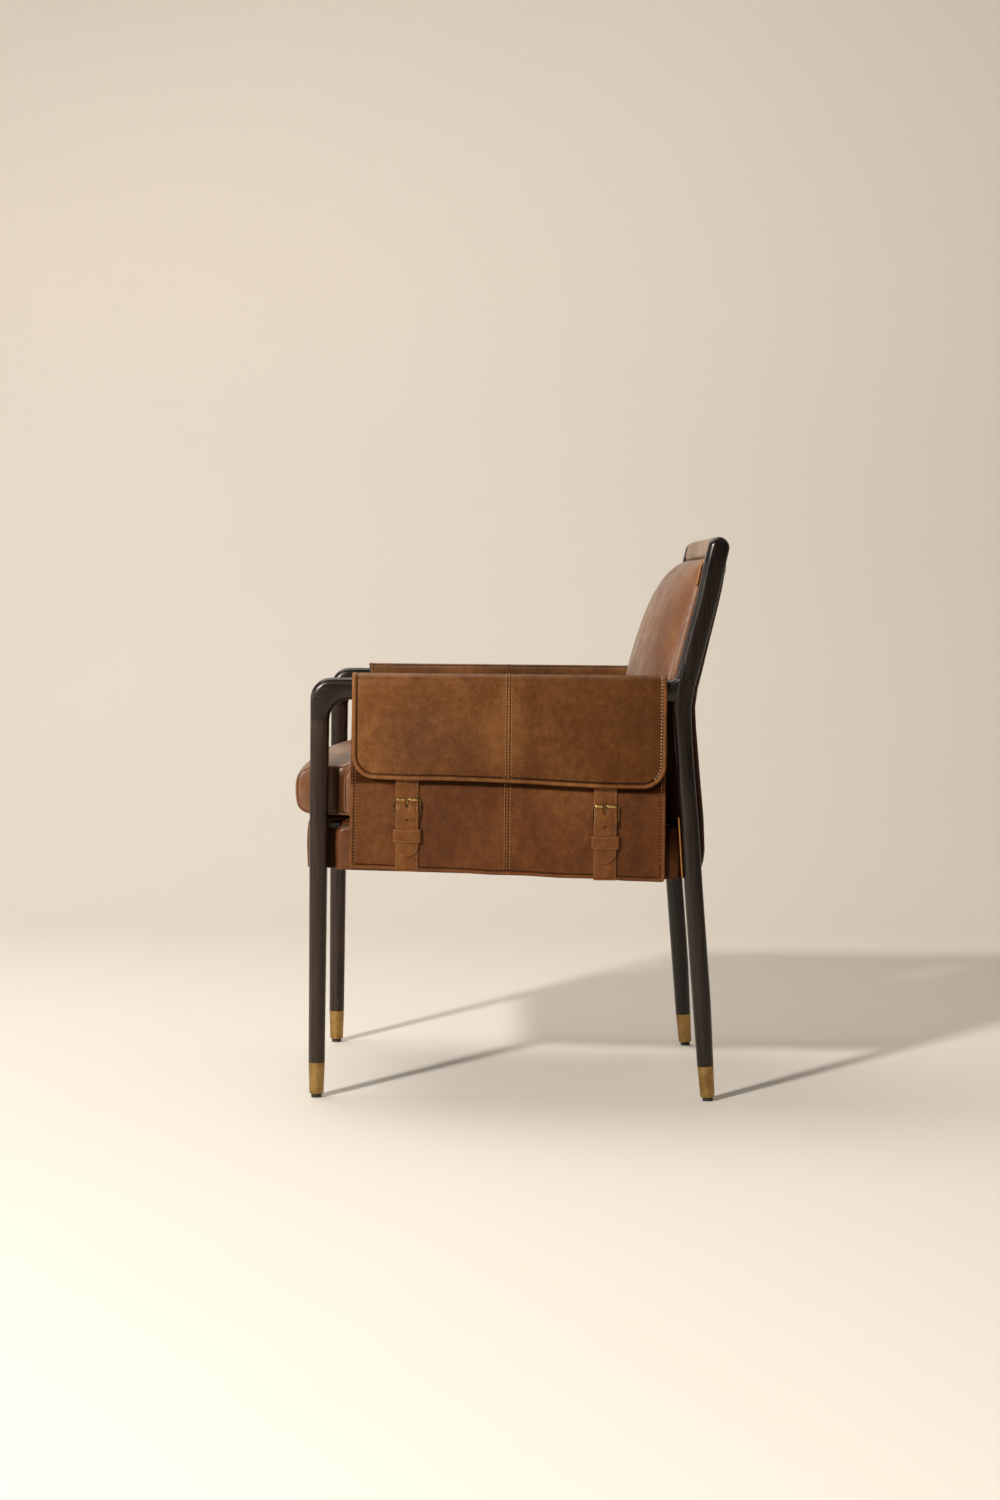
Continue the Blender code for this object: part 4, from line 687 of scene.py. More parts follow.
# The crest leather is lighter and greyer than the cushion's: a painted sheen.
CREST_SHEEN_LEATHER = leather("crest_leather", (0.165, 0.0930, 0.0480), (0.235, 0.1380, 0.0790), (0.300, 0.1850, 0.1150),
                0.44, (1, 1, 0.6), 0.60, (1.0, 0.95, 0.90))
# A lighter leather for the welts beside the posts: a painted highlight where the light catches them.
WELT_HIGHLIGHT_LEATHER = leather("edge_leather", (0.180, 0.062, 0.0140), (0.260, 0.103, 0.026), (0.340, 0.150, 0.045))
# The front legs take the stained wood at full tone; the arm rails and back posts take darker copies of it as
# painted shade.
WOOD_UP = stained_wood("stained_wood_upright", 2)
WOOD_ALONG = stained_wood("stained_wood_along", 1, 0.45)
WOOD_POST = stained_wood("stained_wood_post", 2, 0.40)
WOOD_ACROSS = stained_wood("stained_wood_across", 0)
TIMBER = plain_wood("frame_timber")
SATIN_BRASS = brass("satin_brass", (0.20, 0.105, 0.032), (0.42, 0.26, 0.092), 0.32)
OLD_BRASS = brass("antique_brass", (0.030, 0.019, 0.010), (0.26, 0.160, 0.055), 0.36, (1, 14, 1), 90.0)
ROLLER_BRASS = brass("roller_brass", (0.30, 0.17, 0.050), (0.62, 0.41, 0.140), 0.27, (1, 18, 1), 60.0)
DARK_THREAD = thread("dark_thread", (0.022, 0.008, 0.002), (0.050, 0.020, 0.006))
GOLD_THREAD = thread("gold_thread", (0.24, 0.125, 0.034), (0.38, 0.21, 0.066))
TAN_THREAD = thread("tan_thread", (0.210, 0.105, 0.045), (0.35, 0.195, 0.095))
PALE_THREAD = thread("pale_thread", (0.34, 0.195, 0.105), (0.50, 0.32, 0.195))
RUST_THREAD = thread("rust_thread", (0.17, 0.060, 0.026), (0.28, 0.115, 0.052))
DUST_CLOTH = cambric("dust_cloth")
RUBBER = glide_rubber("black_glide")


# Camera, floor and light

FLOOR_HALF = 9.0
FLOOR_FRONT = 5.8
BACKDROP_PLACE = -3.4
BACKDROP_HEIGHT = 6.0
BACKDROP_BEND = 1.6
KEY_WAY = Vector((0.727, -0.468, 0.500)).normalized()
KEY_DISTANCE = 6.0


def place_camera(scene):
    camera = bpy.data.objects.new("camera", bpy.data.cameras.new("camera"))
    scene.collection.objects.link(camera)
    forward = Vector((-math.cos(CAMERA_PITCH), 0, -math.sin(CAMERA_PITCH)))
    turn = forward.to_track_quat("-Z", "Y").to_matrix().to_4x4()
    camera.matrix_world = Matrix.Translation(CAMERA_PLACE) @ turn @ Matrix.Rotation(CAMERA_ROLL, 4, "Z")
    camera.data.lens = CAMERA_LENS_MM
    camera.data.sensor_width = 36.0
    camera.data.clip_end = 60.0
    scene.camera = camera


def lay_floor():
    """A pale floor that curves up into a backdrop."""
    bend = (BACKDROP_PLACE + BACKDROP_BEND, BACKDROP_BEND)
    profile = [(FLOOR_FRONT, 0.0)] + arc(bend, BACKDROP_BEND, -math.pi / 2, -math.pi, 16)
    profile.append((BACKDROP_PLACE, BACKDROP_HEIGHT))
    verts = [(x, y, z) for y in (-FLOOR_HALF, FLOOR_HALF) for x, z in profile]
    count = len(profile)
    faces = [(i, i + 1, count + i + 1, count + i) for i in range(count - 1)]
    new_object("floor", verts, faces, plain_ground("ground_paper", (0.86, 0.79, 0.70)))


def light_world(scene):
    """A studio that is brighter behind the chair, as the camera sees it, than in front."""
    scene.world = bpy.data.worlds.new("studio")
    scene.world.use_nodes = True
    tree = scene.world.node_tree
    where = put(tree, "ShaderNodeTexCoord").outputs["Generated"]
    facing = put(tree, "ShaderNodeVectorMath", operation="DOT_PRODUCT")
    feed(tree, facing.inputs[0], where)
    feed(tree, facing.inputs[1], (-0.75, 0.0, 0.25))
    tone = ramp(tree, sum_of(tree, 0.5, facing.outputs["Value"], 0.5),
                ((0.28, (0.12, 0.115, 0.11)), (0.60, (0.72, 0.69, 0.65)), (0.85, (1.35, 1.30, 1.22))))
    background = tree.nodes["Background"].inputs
    feed(tree, background["Color"], tone)
    feed(tree, background["Strength"], 0.42)


def lamp(scene, name, place, target, size, power, colour):
    data = bpy.data.lights.new(name, "AREA")
    data.shape = "DISK"
    data.size = size
    data.energy = power
    data.color = colour
    obj = bpy.data.objects.new(name, data)
    scene.collection.objects.link(obj)
    obj.location = place
    obj.rotation_euler = (Vector(target) - Vector(place)).to_track_quat("-Z", "Y").to_euler()


def stage_scene():
    scene = bpy.context.scene
    scene.view_settings.view_transform = "Standard"
    place_camera(scene)
    lay_floor()
    light_world(scene)
    lamp(scene, "key", KEY_WAY * KEY_DISTANCE, (0, 0, 0.40), 0.42, 318.0, (1.0, 0.96, 0.91))
    lamp(scene, "window", (0.2, -3.3, 1.1), (0, 0, 0.6), 0.9, 20.0, (0.93, 0.96, 1.0))
    lamp(scene, "top", (-0.9, -1.0, 3.2), (0, 0, 0.4), 2.2, 38.0, (1.0, 0.98, 0.95))


# Rigid pieces: CAD nodes with smooth shading and better materials

# The wing strips and the seat deck take dark stained wood where they show between panel and post: painted
# shade.
NODE_LOOKS = {"front_leg": WOOD_UP, "back_post": WOOD_POST, "arm_rail": WOOD_ALONG,
              "wing_strip": WOOD_ALONG, "ferrule": SATIN_BRASS, "glide": RUBBER, "corner_block": TIMBER,
              "buckle_frame": OLD_BRASS, "prong": OLD_BRASS, "seat_left_rail": TIMBER,
              "seat_right_rail": TIMBER, "seat_front_rail": TIMBER, "seat_back_rail": TIMBER,
              "back_board": TIMBER, "seat_deck": WOOD_ACROSS, "crest_rail": WOOD_ACROSS,
              "lower_back_rail": WOOD_ACROSS}
SHARP_ANGLE = math.radians(38)
DOUBLE_GAP = 0.00001


def smooth_shading_group():
    """Joins a node's doubled points and shades it smooth but for its sharp edges."""
    group = bpy.data.node_groups.new("smooth_shading", "GeometryNodeTree")
    group.interface.new_socket("Geometry", in_out="INPUT", socket_type="NodeSocketGeometry")
    group.interface.new_socket("Geometry", in_out="OUTPUT", socket_type="NodeSocketGeometry")
    start = put(group, "NodeGroupInput").outputs[0]
    bare = put(group, "GeometryNodeRemoveAttribute", Geometry=start, Name="custom_normal").outputs[0]
    joined = put(group, "GeometryNodeMergeByDistance", Geometry=bare, Distance=DOUBLE_GAP).outputs[0]
    smooth = put(group, "GeometryNodeSetShadeSmooth", domain="FACE", Geometry=joined).outputs[0]
    angle = put(group, "GeometryNodeInputMeshEdgeAngle").outputs["Unsigned Angle"]
    sharp = put(group, "FunctionNodeCompare", operation="GREATER_THAN", A=angle, B=SHARP_ANGLE)
    edges = put(group, "GeometryNodeSetShadeSmooth", domain="EDGE", Geometry=smooth, Shade_Smooth=False,
                Selection=sharp.outputs["Result"])
    feed(group, put(group, "NodeGroupOutput").inputs[0], edges.outputs[0])
    return group


def rigid_pieces():
    group = smooth_shading_group()
    for name, node in nodes.items():
        for ending, material in NODE_LOOKS.items():
            if name.endswith(ending):
                for slot in node.material_slots:
                    slot.material = material
                node.modifiers.new("smooth", "NODES").node_group = group


# Padded leather, puffed out by a short cloth simulation

PUFF_FRAMES = 20
CLOTH_SETTINGS = {"quality": 6, "mass": 0.35, "tension_stiffness": 22, "compression_stiffness": 12,
                  "shear_stiffness": 8, "bending_stiffness": 0.4, "tension_damping": 12,
                  "compression_damping": 12, "air_damping": 2.0, "use_pressure": True,
                  "vertex_group_mass": "held", "pin_stiffness": 8.0}


def bake_modifiers(obj):
    bpy.context.view_layer.update()
    evaluated = obj.evaluated_get(bpy.context.evaluated_depsgraph_get())
    mesh = bpy.data.meshes.new_from_object(evaluated)
    old = obj.data
    materials = [slot.material for slot in obj.material_slots]
    obj.modifiers.clear()
    obj.data = mesh
    mesh.materials.clear()
    for material in materials:
        mesh.materials.append(material)
    bpy.data.meshes.remove(old)
    mesh.shade_smooth()


def bake(obj, kind, **settings):
    """Adds a modifier with its settings and bakes it into the mesh."""
    modifier = obj.modifiers.new(kind.lower(), kind)
    for key, value in settings.items():
        setattr(modifier, key, value)
    bake_modifiers(obj)


def puff(obj, held, pressure, cap):
    """Blows a padded skin up against its seams. held(point) is 1 where it is sewn down."""
    rest = [v.co.copy() for v in obj.data.vertices]
    group = obj.vertex_groups.new(name="held")
    for vertex in obj.data.vertices:
        group.add([vertex.index], held(vertex.co), "REPLACE")
    cloth = obj.modifiers.new("cloth", "CLOTH")
    for key, value in CLOTH_SETTINGS.items():
        setattr(cloth.settings, key, value)
    cloth.settings.uniform_pressure_force = pressure
    cloth.settings.effector_weights.gravity = 0.0
    cloth.collision_settings.use_self_collision = False
    cloth.point_cache.frame_start = 1
    cloth.point_cache.frame_end = PUFF_FRAMES
    for step in range(1, PUFF_FRAMES + 1):
        bpy.context.scene.frame_set(step)
    bake_modifiers(obj)
    bpy.context.scene.frame_set(1)
    for vertex, start in zip(obj.data.vertices, rest):
        move = vertex.co - start
        if move.length > cap:
            vertex.co = start + move.normalized() * cap
    obj.vertex_groups.clear()


def relax(obj, times, held):
    """Evens out the skin where it is free."""
    def smooth(bm):
        free = [v for v in bm.verts if held(v.co) < 0.5]
        for _ in range(times):
            bmesh.ops.smooth_vert(bm, verts=free, factor=0.5, use_axis_x=True, use_axis_y=True,
                                  use_axis_z=True)
    edit_mesh(obj, smooth)


def surface_tree(obj):
    points = [v.co.copy() for v in obj.data.vertices]
    return BVHTree.FromPolygons(points, [tuple(p.vertices) for p in obj.data.polygons])


def padded_piece(node, verts, faces, held, pressure, cap, evened, shape):
    """A cushion's skin in place of its CAD node, from a rough block to its seams and folds.

    held(point) is 1 where the skin is sewn down, and shape(co, normal) gives a point's new place
    and how rubbed it is, where below zero is painted shade.
    """
    obj = new_object(f"{node}_cover", verts, faces, CUSHION)
    edit_mesh(obj, turn_outwards)
    bake(obj, "REMESH", mode="VOXEL", voxel_size=SKIN_STEP, use_smooth_shade=True)
    puff(obj, held, pressure, cap)
    relax(obj, evened, held)
    normals = [v.normal.copy() for v in obj.data.vertices]
    wear_and_shade_values = []
    for vertex, normal in zip(obj.data.vertices, normals):
        vertex.co, wear_and_shade_amount = shape(vertex.co.copy(), normal)
        wear_and_shade_values.append(wear_and_shade_amount)
    mark_wear_and_shade(obj, wear_and_shade_values)
    bake(obj, "SUBSURF", levels=1, render_levels=1)
    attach(obj, "chair")
    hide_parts(node)
    return obj


def seat_base_height(y):
    return SEAT_DATUM - SEAT_FALL * y


# Seat cushion: a T-shaped box cushion with a rolled front and D-shaped ends

SKIN_STEP = 5 * MM
CUSHION_BOTTOM = BASE_TALL + 1.2 * MM
CUSHION_TOP = BASE_TALL + 105 * MM
CUSHION_NARROW = 0.2425
CUSHION_WIDE = 0.2662
CUSHION_REAR = 0.190
CUSHION_BOW = 5 * MM
# Where the cushion's sides get painted shade behind the front legs.
LEG_RECESS_Y = -0.252
LEG_RECESS_X = 0.225
LEG_RECESS_TOP = 0.505
# Each block: name, half width, front, edge height, upper and lower front radius, length of its crown's rise
CUSHION_BLOCKS = (("nose", CUSHION_NARROW, -0.3142, BASE_TALL + 73 * MM, 27 * MM, 22 * MM, 0.105),
                  ("side", CUSHION_WIDE, -0.2410, BASE_TALL + 87 * MM, 33 * MM, 12 * MM, 0.06))


def side_profile(front, high, top_radius, foot_radius):
    """Side view of a block from its lower rear round the front to its upper rear."""
    low = CUSHION_BOTTOM
    points = [(CUSHION_REAR, low)]
    points += arc((front + foot_radius, low + foot_radius), foot_radius, -math.pi / 2, -math.pi, 8)
    points += arc((front + top_radius, high - top_radius), top_radius, math.pi, math.pi / 2, 10)
    return points + [(CUSHION_REAR, high)]


def block_points(half, closed, columns, front, high, rise_length):
    """Rings of points across a block, with its top crowned and its front bowed."""
    middle = (CUSHION_BOTTOM + high) / 2
    points = []
    for i in range(columns + 1):
        x = -half + 2 * half * i / columns
        share = (1 - (abs(x) / half) ** 2.3) ** 0.75
        for y, z in closed:
            along = ease((y - front) / rise_length) * (1 - 0.3 * ease((y - 0.08) / 0.12))
            lift = (CUSHION_TOP - high) * share * along * max(0.0, (z - middle) / (high - middle))
            bow = CUSHION_BOW * (1 - (x / half) ** 2) * hump(y - front, 60 * MM)
            points.append((x, y - bow, seat_base_height(y) + z + lift))
    return points


def seam_finder(seams):
    """A function that gives a point's distance to seams that are the same on both sides."""
    dense = []
    for seam in seams:
        for a, b in zip(seam, seam[1:]):
            parts = max(1, round((b - a).length / (2 * MM)))
            dense += [a.lerp(b, k / parts) for k in range(parts)]
    tree = point_tree(dense)
    return lambda point: tree.find(Vector((abs(point[0]), point[1], point[2])))[2]


def seat_cushion():
    verts, faces, seams = [], [], {}
    for name, half, front, high, top_radius, foot_radius, rise_length in CUSHION_BLOCKS:
        profile = side_profile(front, high, top_radius, foot_radius)
        closed = spaced_line(profile, 7 * MM, closed=True)
        columns = max(8, round(2 * half / (12 * MM)))
        faces += ring_faces(len(closed), columns + 1, len(verts))
        verts += block_points(half, closed, columns, front, high, rise_length)
        seams[name] = [Vector((half, y, seat_base_height(y) + z)) for y, z in spaced_line(profile, 5 * MM)]
    seam_gap = seam_finder(seams.values())

    def held(point):
        low = point[2] - seat_base_height(point[1]) < CUSHION_BOTTOM + 3 * MM
        rear = point[1] > CUSHION_REAR - 4 * MM
        return 1.0 if low or rear or seam_gap(point) < 3.5 * MM else 0.0

    def shape(co, normal):
        gap = seam_gap(co)
        fold = ease(gap / (5 * MM)) * math.exp(-gap / (11 * MM))
        upright = abs(normal.x) * ease((abs(co.x) - CUSHION_NARROW + 20 * MM) / (15 * MM))
        pucker = wave((co.x * 0.3, co.y, co.z * 0.35), 88.0, 3.0) * fold * 1.5 * MM
        hang = wave((0, co.y, co.z * 0.25), 46.0, 6.0) * 1.1 * MM * upright
        swell = wave(co, 8.0, 1.0) * 1.6 * MM
        above = ease((co.z - seat_base_height(co.y) - CUSHION_BOTTOM) / (8 * MM))
        place = co + normal * (pucker + hang + swell) * above
        # Painted shade on the cushion's sides in the recess behind the front legs.
        recess = hump(co.y - LEG_RECESS_Y, 16 * MM) * ease((abs(co.x) - LEG_RECESS_X) / (12 * MM))
        return place, bands(gap, (0.25, 0, 12)) - 0.9 * recess * ease((LEG_RECESS_TOP - co.z) / (30 * MM))
    tree = surface_tree(padded_piece("seat_cushion", verts, faces, held, 4.0, 5 * MM, 3, shape))
    for word, side in SIDES:
        for name, seam in seams.items():
            laid = []
            for p in seam:
                place, normal, _, _ = tree.find_nearest(Vector((side * p.x, p.y, p.z)))
                laid.append(place + normal * 0.3 * MM)
            tube(f"{word}_cushion_{name}_welt", smoothed(laid, 3), 1.7 * MM, CUSHION)


# Back cushion: pulled down at its seams to the posts, the crest and the foot

BACK_HALF = 0.2438
BACK_LOW = 0.4120
BACK_HIGH = 0.8020
BACK_EDGE = 3.5 * MM
# How far its middle stands ahead of the posts: (height, distance in mm)
BACK_CROWN = ((0.405, 44), (0.43, 54), (0.50, 59), (0.60, 60), (0.66, 60), (0.705, 57), (0.74, 52),
              (0.765, 43), (0.783, 32), (0.796, 20), (0.803, 9))
BACK_COLUMNS = 44
BACK_ROWS = 40
POST_SPAN = (0.30, 0.82)
POST_BAND = 0.03
WELT_SINK = 2.2 * MM


def interp_rows(at, rows):
    """Reads a table of (place, distance in mm) between its rows."""
    places, distances = zip(*rows)
    return np.interp(at, places, [d * MM for d in distances])


def post_face(choose):
    """A function that gives the posts' front (min) or rear (max) face at a height."""
    levels = {}
    for vertex in nodes["left_back_post"].data.vertices:
        if POST_SPAN[0] < vertex.co.z < POST_SPAN[1]:
            levels.setdefault(round(vertex.co.z / POST_BAND), []).append((vertex.co.z, vertex.co.y))
    zs, ys = zip(*sorted(choose(level, key=lambda place: place[1]) for level in levels.values()))
    return lambda z: np.interp(z, zs, ys)


def back_depth(x, z):
    """How far the cushion stands ahead of the posts' front faces."""
    crown = interp_rows(z, BACK_CROWN)
    share = max(0.0, 1 - (abs(x) / BACK_HALF) ** 2.2)
    return min(BACK_EDGE, crown) + max(0.0, crown - BACK_EDGE) * share ** 0.72


def post_welt(name, x, front, low, high, radius):
    """A welt that stands along the front face of a post."""
    line = [(x, front(z) - WELT_SINK, z) for z in np.arange(low, high, 5 * MM)]
    tube(name, line, radius, WELT_HIGHLIGHT_LEATHER)


def back_cushion():
    front = post_face(min)
    shares = [0.5 * (1 - math.cos(math.pi * k / BACK_ROWS)) for k in range(BACK_ROWS + 1)]
    zs = [BACK_LOW + (BACK_HIGH - BACK_LOW) * share for share in shares]
    verts = []
    for i in range(BACK_COLUMNS + 1):
        x = BACK_HALF * math.sin(math.pi / 2 * (2 * i / BACK_COLUMNS - 1))
        verts += [(x, front(z) - back_depth(x, z), z) for z in zs]
        verts += [(x, front(z) + 10 * MM, z) for z in reversed(zs)]
    faces = ring_faces(2 * len(zs), BACK_COLUMNS + 1)

    def held(point):
        side = abs(point[0]) > BACK_HALF - 4 * MM
        end = point[2] > BACK_HIGH - 4 * MM or point[2] < BACK_LOW + 6 * MM
        return 1.0 if side or end or point[1] > front(point[2]) + 2 * MM else 0.0

    def shape(co, normal):
        gap = min(BACK_HALF - abs(co.x), (BACK_HIGH - co.z) * 1.6)
        ahead = front(co.z) - co.y
        close = ease(gap / (2.5 * MM)) * math.exp(-ahead / (16 * MM))
        strong = 0.35 + 1.0 * (1 - ease((co.z - 0.63) / 0.10))
        pucker = wave((0.0, co.y * 0.25, co.z - ahead * 0.5), 78.0, 5.0) * close * 1.7 * MM * strong
        swell = wave((co.x, co.y, co.z * 0.6), 10.0, 2.0) * 1.0 * MM * ease(gap / (40 * MM))
        beside = ease((abs(co.x) - BACK_HALF + 50 * MM) / (30 * MM))
        shaded = 0.95 * (beside * ease((HINGE_Z - 1 * MM - co.z) / (20 * MM)))
        return co + normal * (pucker + swell) * (1.0 - held(co)), -shaded
    padded_piece("back_cushion", verts, faces, held, 2.5, 3 * MM, 4, shape)
    for word, side in SIDES:
        post_welt(f"{word}_back_welt", side * (BACK_HALF + 0.5 * MM), front, 0.762, 0.799, 1.6 * MM)


# Leather of the saddlebags

HINGE_X, _, HINGE_Z = pivots["left_flap_hinge"]
FLAP_TILT = math.radians(1.4248)
FLAP_TOP_RADIUS = 14.3 * MM
FLAP_SIDE_RADIUS = 14.4 * MM
FLAP_TURN_STEPS = 28
FLAP_DROP = 0.160
FLAP_FRONT = -0.229
FLAP_CORNER = 35 * MM
FLAP_THICKNESS = 2.6 * MM
FLAP_ROLL = 6.6 * MM
FLAP_SEAM = 1 * MM
BAG_REAR = 0.2325
# How far the hem is drawn up: (place along the flap, distance in mm)
HEM_DRAWN = ((-0.190, 5.0), (-0.160, 2.6), (-0.100, 4.2), (0.020, 4.3), (0.075, 3.0), (0.134, 1.6),
             (0.190, 1.2))
PANEL_BACK = 0.27585
PANEL_THICKNESS = 2.2 * MM
PANEL_ROLL = 5.4 * MM
PANEL_FRONT = -0.232
PANEL_TOP = 0.606
LINING_FRONT = -0.226
LINING_REAR = 0.2295
LINING_LOW = 0.346
LINING_OUT_X = 0.2698
LINING_IN_X = 0.24545
LINING_RADIUS = 10.3 * MM
LINING_BEND_Z = 0.6158
LINING_ROLL = 4.6 * MM
LINING_THICKNESS = 1.8 * MM


def flap_hem(y):
    """Height of the flap's hem: it falls to the rear and is drawn up between the straps."""
    return SEAT_DATUM + 0.136 - 0.008 * ease((y + 0.194) / 0.3915) + interp_rows(y, HEM_DRAWN)


def panel_hem(y):
    """Height of the side panel's hem, which falls to the rear."""
    return 0.3427 - 0.0165 * (y - FLAP_FRONT) / (BAG_REAR - FLAP_FRONT)


def flap_profile():
    """End view of the left flap's underside, from its seam on the arm to below the hem."""
    points = [(x, HINGE_Z + FLAP_TOP_RADIUS) for x in (0.2562, 0.2600)]
    for i in range(FLAP_TURN_STEPS + 1):
        share = i / FLAP_TURN_STEPS
        angle = math.pi / 2 - share * (math.pi / 2 + FLAP_TILT)
        radius = FLAP_TOP_RADIUS + (FLAP_SIDE_RADIUS - FLAP_TOP_RADIUS) * ease(share)
        points.append((HINGE_X + radius * math.cos(angle), HINGE_Z + radius * math.sin(angle)))
    x, z = points[-1]
    drops = [FLAP_DROP * i / 32 for i in range(1, 33)]
    return points + [(x + drop * math.sin(FLAP_TILT), z - drop * math.cos(FLAP_TILT)) for drop in drops]


def flap(word, side):
    """The leather that laps over the arm and hangs to a hem."""
    profile = flap_profile()
    place, _, along = bent(profile)
    turned = FLAP_TURN_STEPS + 2

    def hem_at(y):
        return float(along[turned] + (profile[turned][1] - flap_hem(y)) / math.cos(FLAP_TILT))
    corners = [(FLAP_FRONT, 0.0, 3 * MM), (BAG_REAR, 0.0, 3 * MM), (BAG_REAR, hem_at(BAG_REAR), FLAP_CORNER)]
    corners += [(y, hem_at(y), 0.0) for y in np.linspace(0.17, -0.17, 14)]
    outline = rounded_outline(corners + [(FLAP_FRONT, hem_at(FLAP_FRONT), FLAP_CORNER)])
    beyond = [(u, v - 60 * MM if v < 10 * MM else v) for u, v in outline]

    def height(u, v, edge):
        on_side = ease((v - 12 * MM) / (14 * MM))
        roll = rolled_edge(edge, FLAP_ROLL, 1.7 * MM, 1.2 * MM) * (0.35 + 0.65 * on_side)
        roll = roll - 1.7 * MM * (1 - ease(v / (7 * MM)))
        pad = 0.5 * MM * ease((edge - 9 * MM) / (14 * MM)) * on_side
        return roll + pad + seam_ridge(u - FLAP_SEAM, 0.9 * MM) * ease((edge - 6 * MM) / (4 * MM))

    def sway(u, v):
        free = ease((v - 30 * MM) / (60 * MM))
        stand = ease((v - 60 * MM) / (90 * MM)) * ease((u + 0.21) / 0.10) * ease((0.22 - u) / 0.10)
        return 0.35 * MM * (1 + ripple(u, v, 30.0, 1.3 + side)) * free + 4.5 * MM * stand

    def wear(u, v, edge):
        on_roll = bands(edge, (1, 3.2, 3.4))
        ridge = hump(u - FLAP_SEAM, 1.8 * MM)
        # Painted shade in the stitch channel inside the roll and beside the centre seam.
        groove = bands(edge, (1, 7.6, 1.6)) * ease((BAG_REAR - 10 * MM - u) / (8 * MM))
        groove = groove + bands(np.abs(u - FLAP_SEAM), (0.8, 2.6, 1.2))
        # The flap is made darker towards its rear.
        rear = 0.38 * ease((u + 0.12) / 0.24) * (1 - on_roll) * (1 - ridge)
        return 0.30 * on_roll + bands(v, (0.15, 15, 5)) + 0.30 * ridge - 0.9 * groove - rear
    sheet = Sheet(outline, place, FLAP_THICKNESS, height, sway, side, beyond)
    lines = across(np.arange(FLAP_FRONT, BAG_REAR, 5 * MM), along[1:turned:2])
    lines += upwards([FLAP_SEAM + d * MM for d in SEAM_LINES], np.arange(4 * MM, hem_at(0) - 8 * MM, 4 * MM))
    obj = sheet.build(f"{word}_flap_leather", SADDLE, f"{word}_flap",
                      edge_rings(FLAP_ROLL), lines, wear=wear)
    obj.parent = None
    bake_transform(obj)

    rim = opened([p for p in sheet.inset(7.7 * MM) if p[1] > 9 * MM])
    at_rear = [p for p in rim if p[0] > BAG_REAR - 20 * MM]
    at_hem = opened([p for p in rim if p[0] <= BAG_REAR - 20 * MM])
    rows = upwards([FLAP_SEAM + d * MM for d in (-3.9, 3.9)], np.arange(12 * MM, hem_at(0) - 9 * MM, 3 * MM))
    # One thread, drawn dark along the hem as painted shade and pale along the rear edge as a painted
    # highlight.
    sewn = (("hem", [at_hem], 0.0, DARK_THREAD, 3.8 * MM, 0.55 * MM, 7.0),
            ("rear", [at_rear], 0.9 * MM, PALE_THREAD, 3.8 * MM, 0.78 * MM, 1.2),
            ("seam", rows, STITCH_LIFT, GOLD_THREAD, 3.9 * MM, 0.55 * MM, 0.05))
    for part, seams, lift, material, length, radius, slant in sewn:
        threads = sheet.sew(f"{word}_flap_{part}_threads", seams, material, "saddle_leather", lift,
                            body=None, length=length, radius=radius, slant=slant)
        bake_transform(threads)
    root = across(np.arange(FLAP_FRONT + 4 * MM, BAG_REAR - 3 * MM, 4 * MM), [3 * MM])
    sheet.sew(f"{word}_flap_root_threads", root, TAN_THREAD, "saddle_leather")


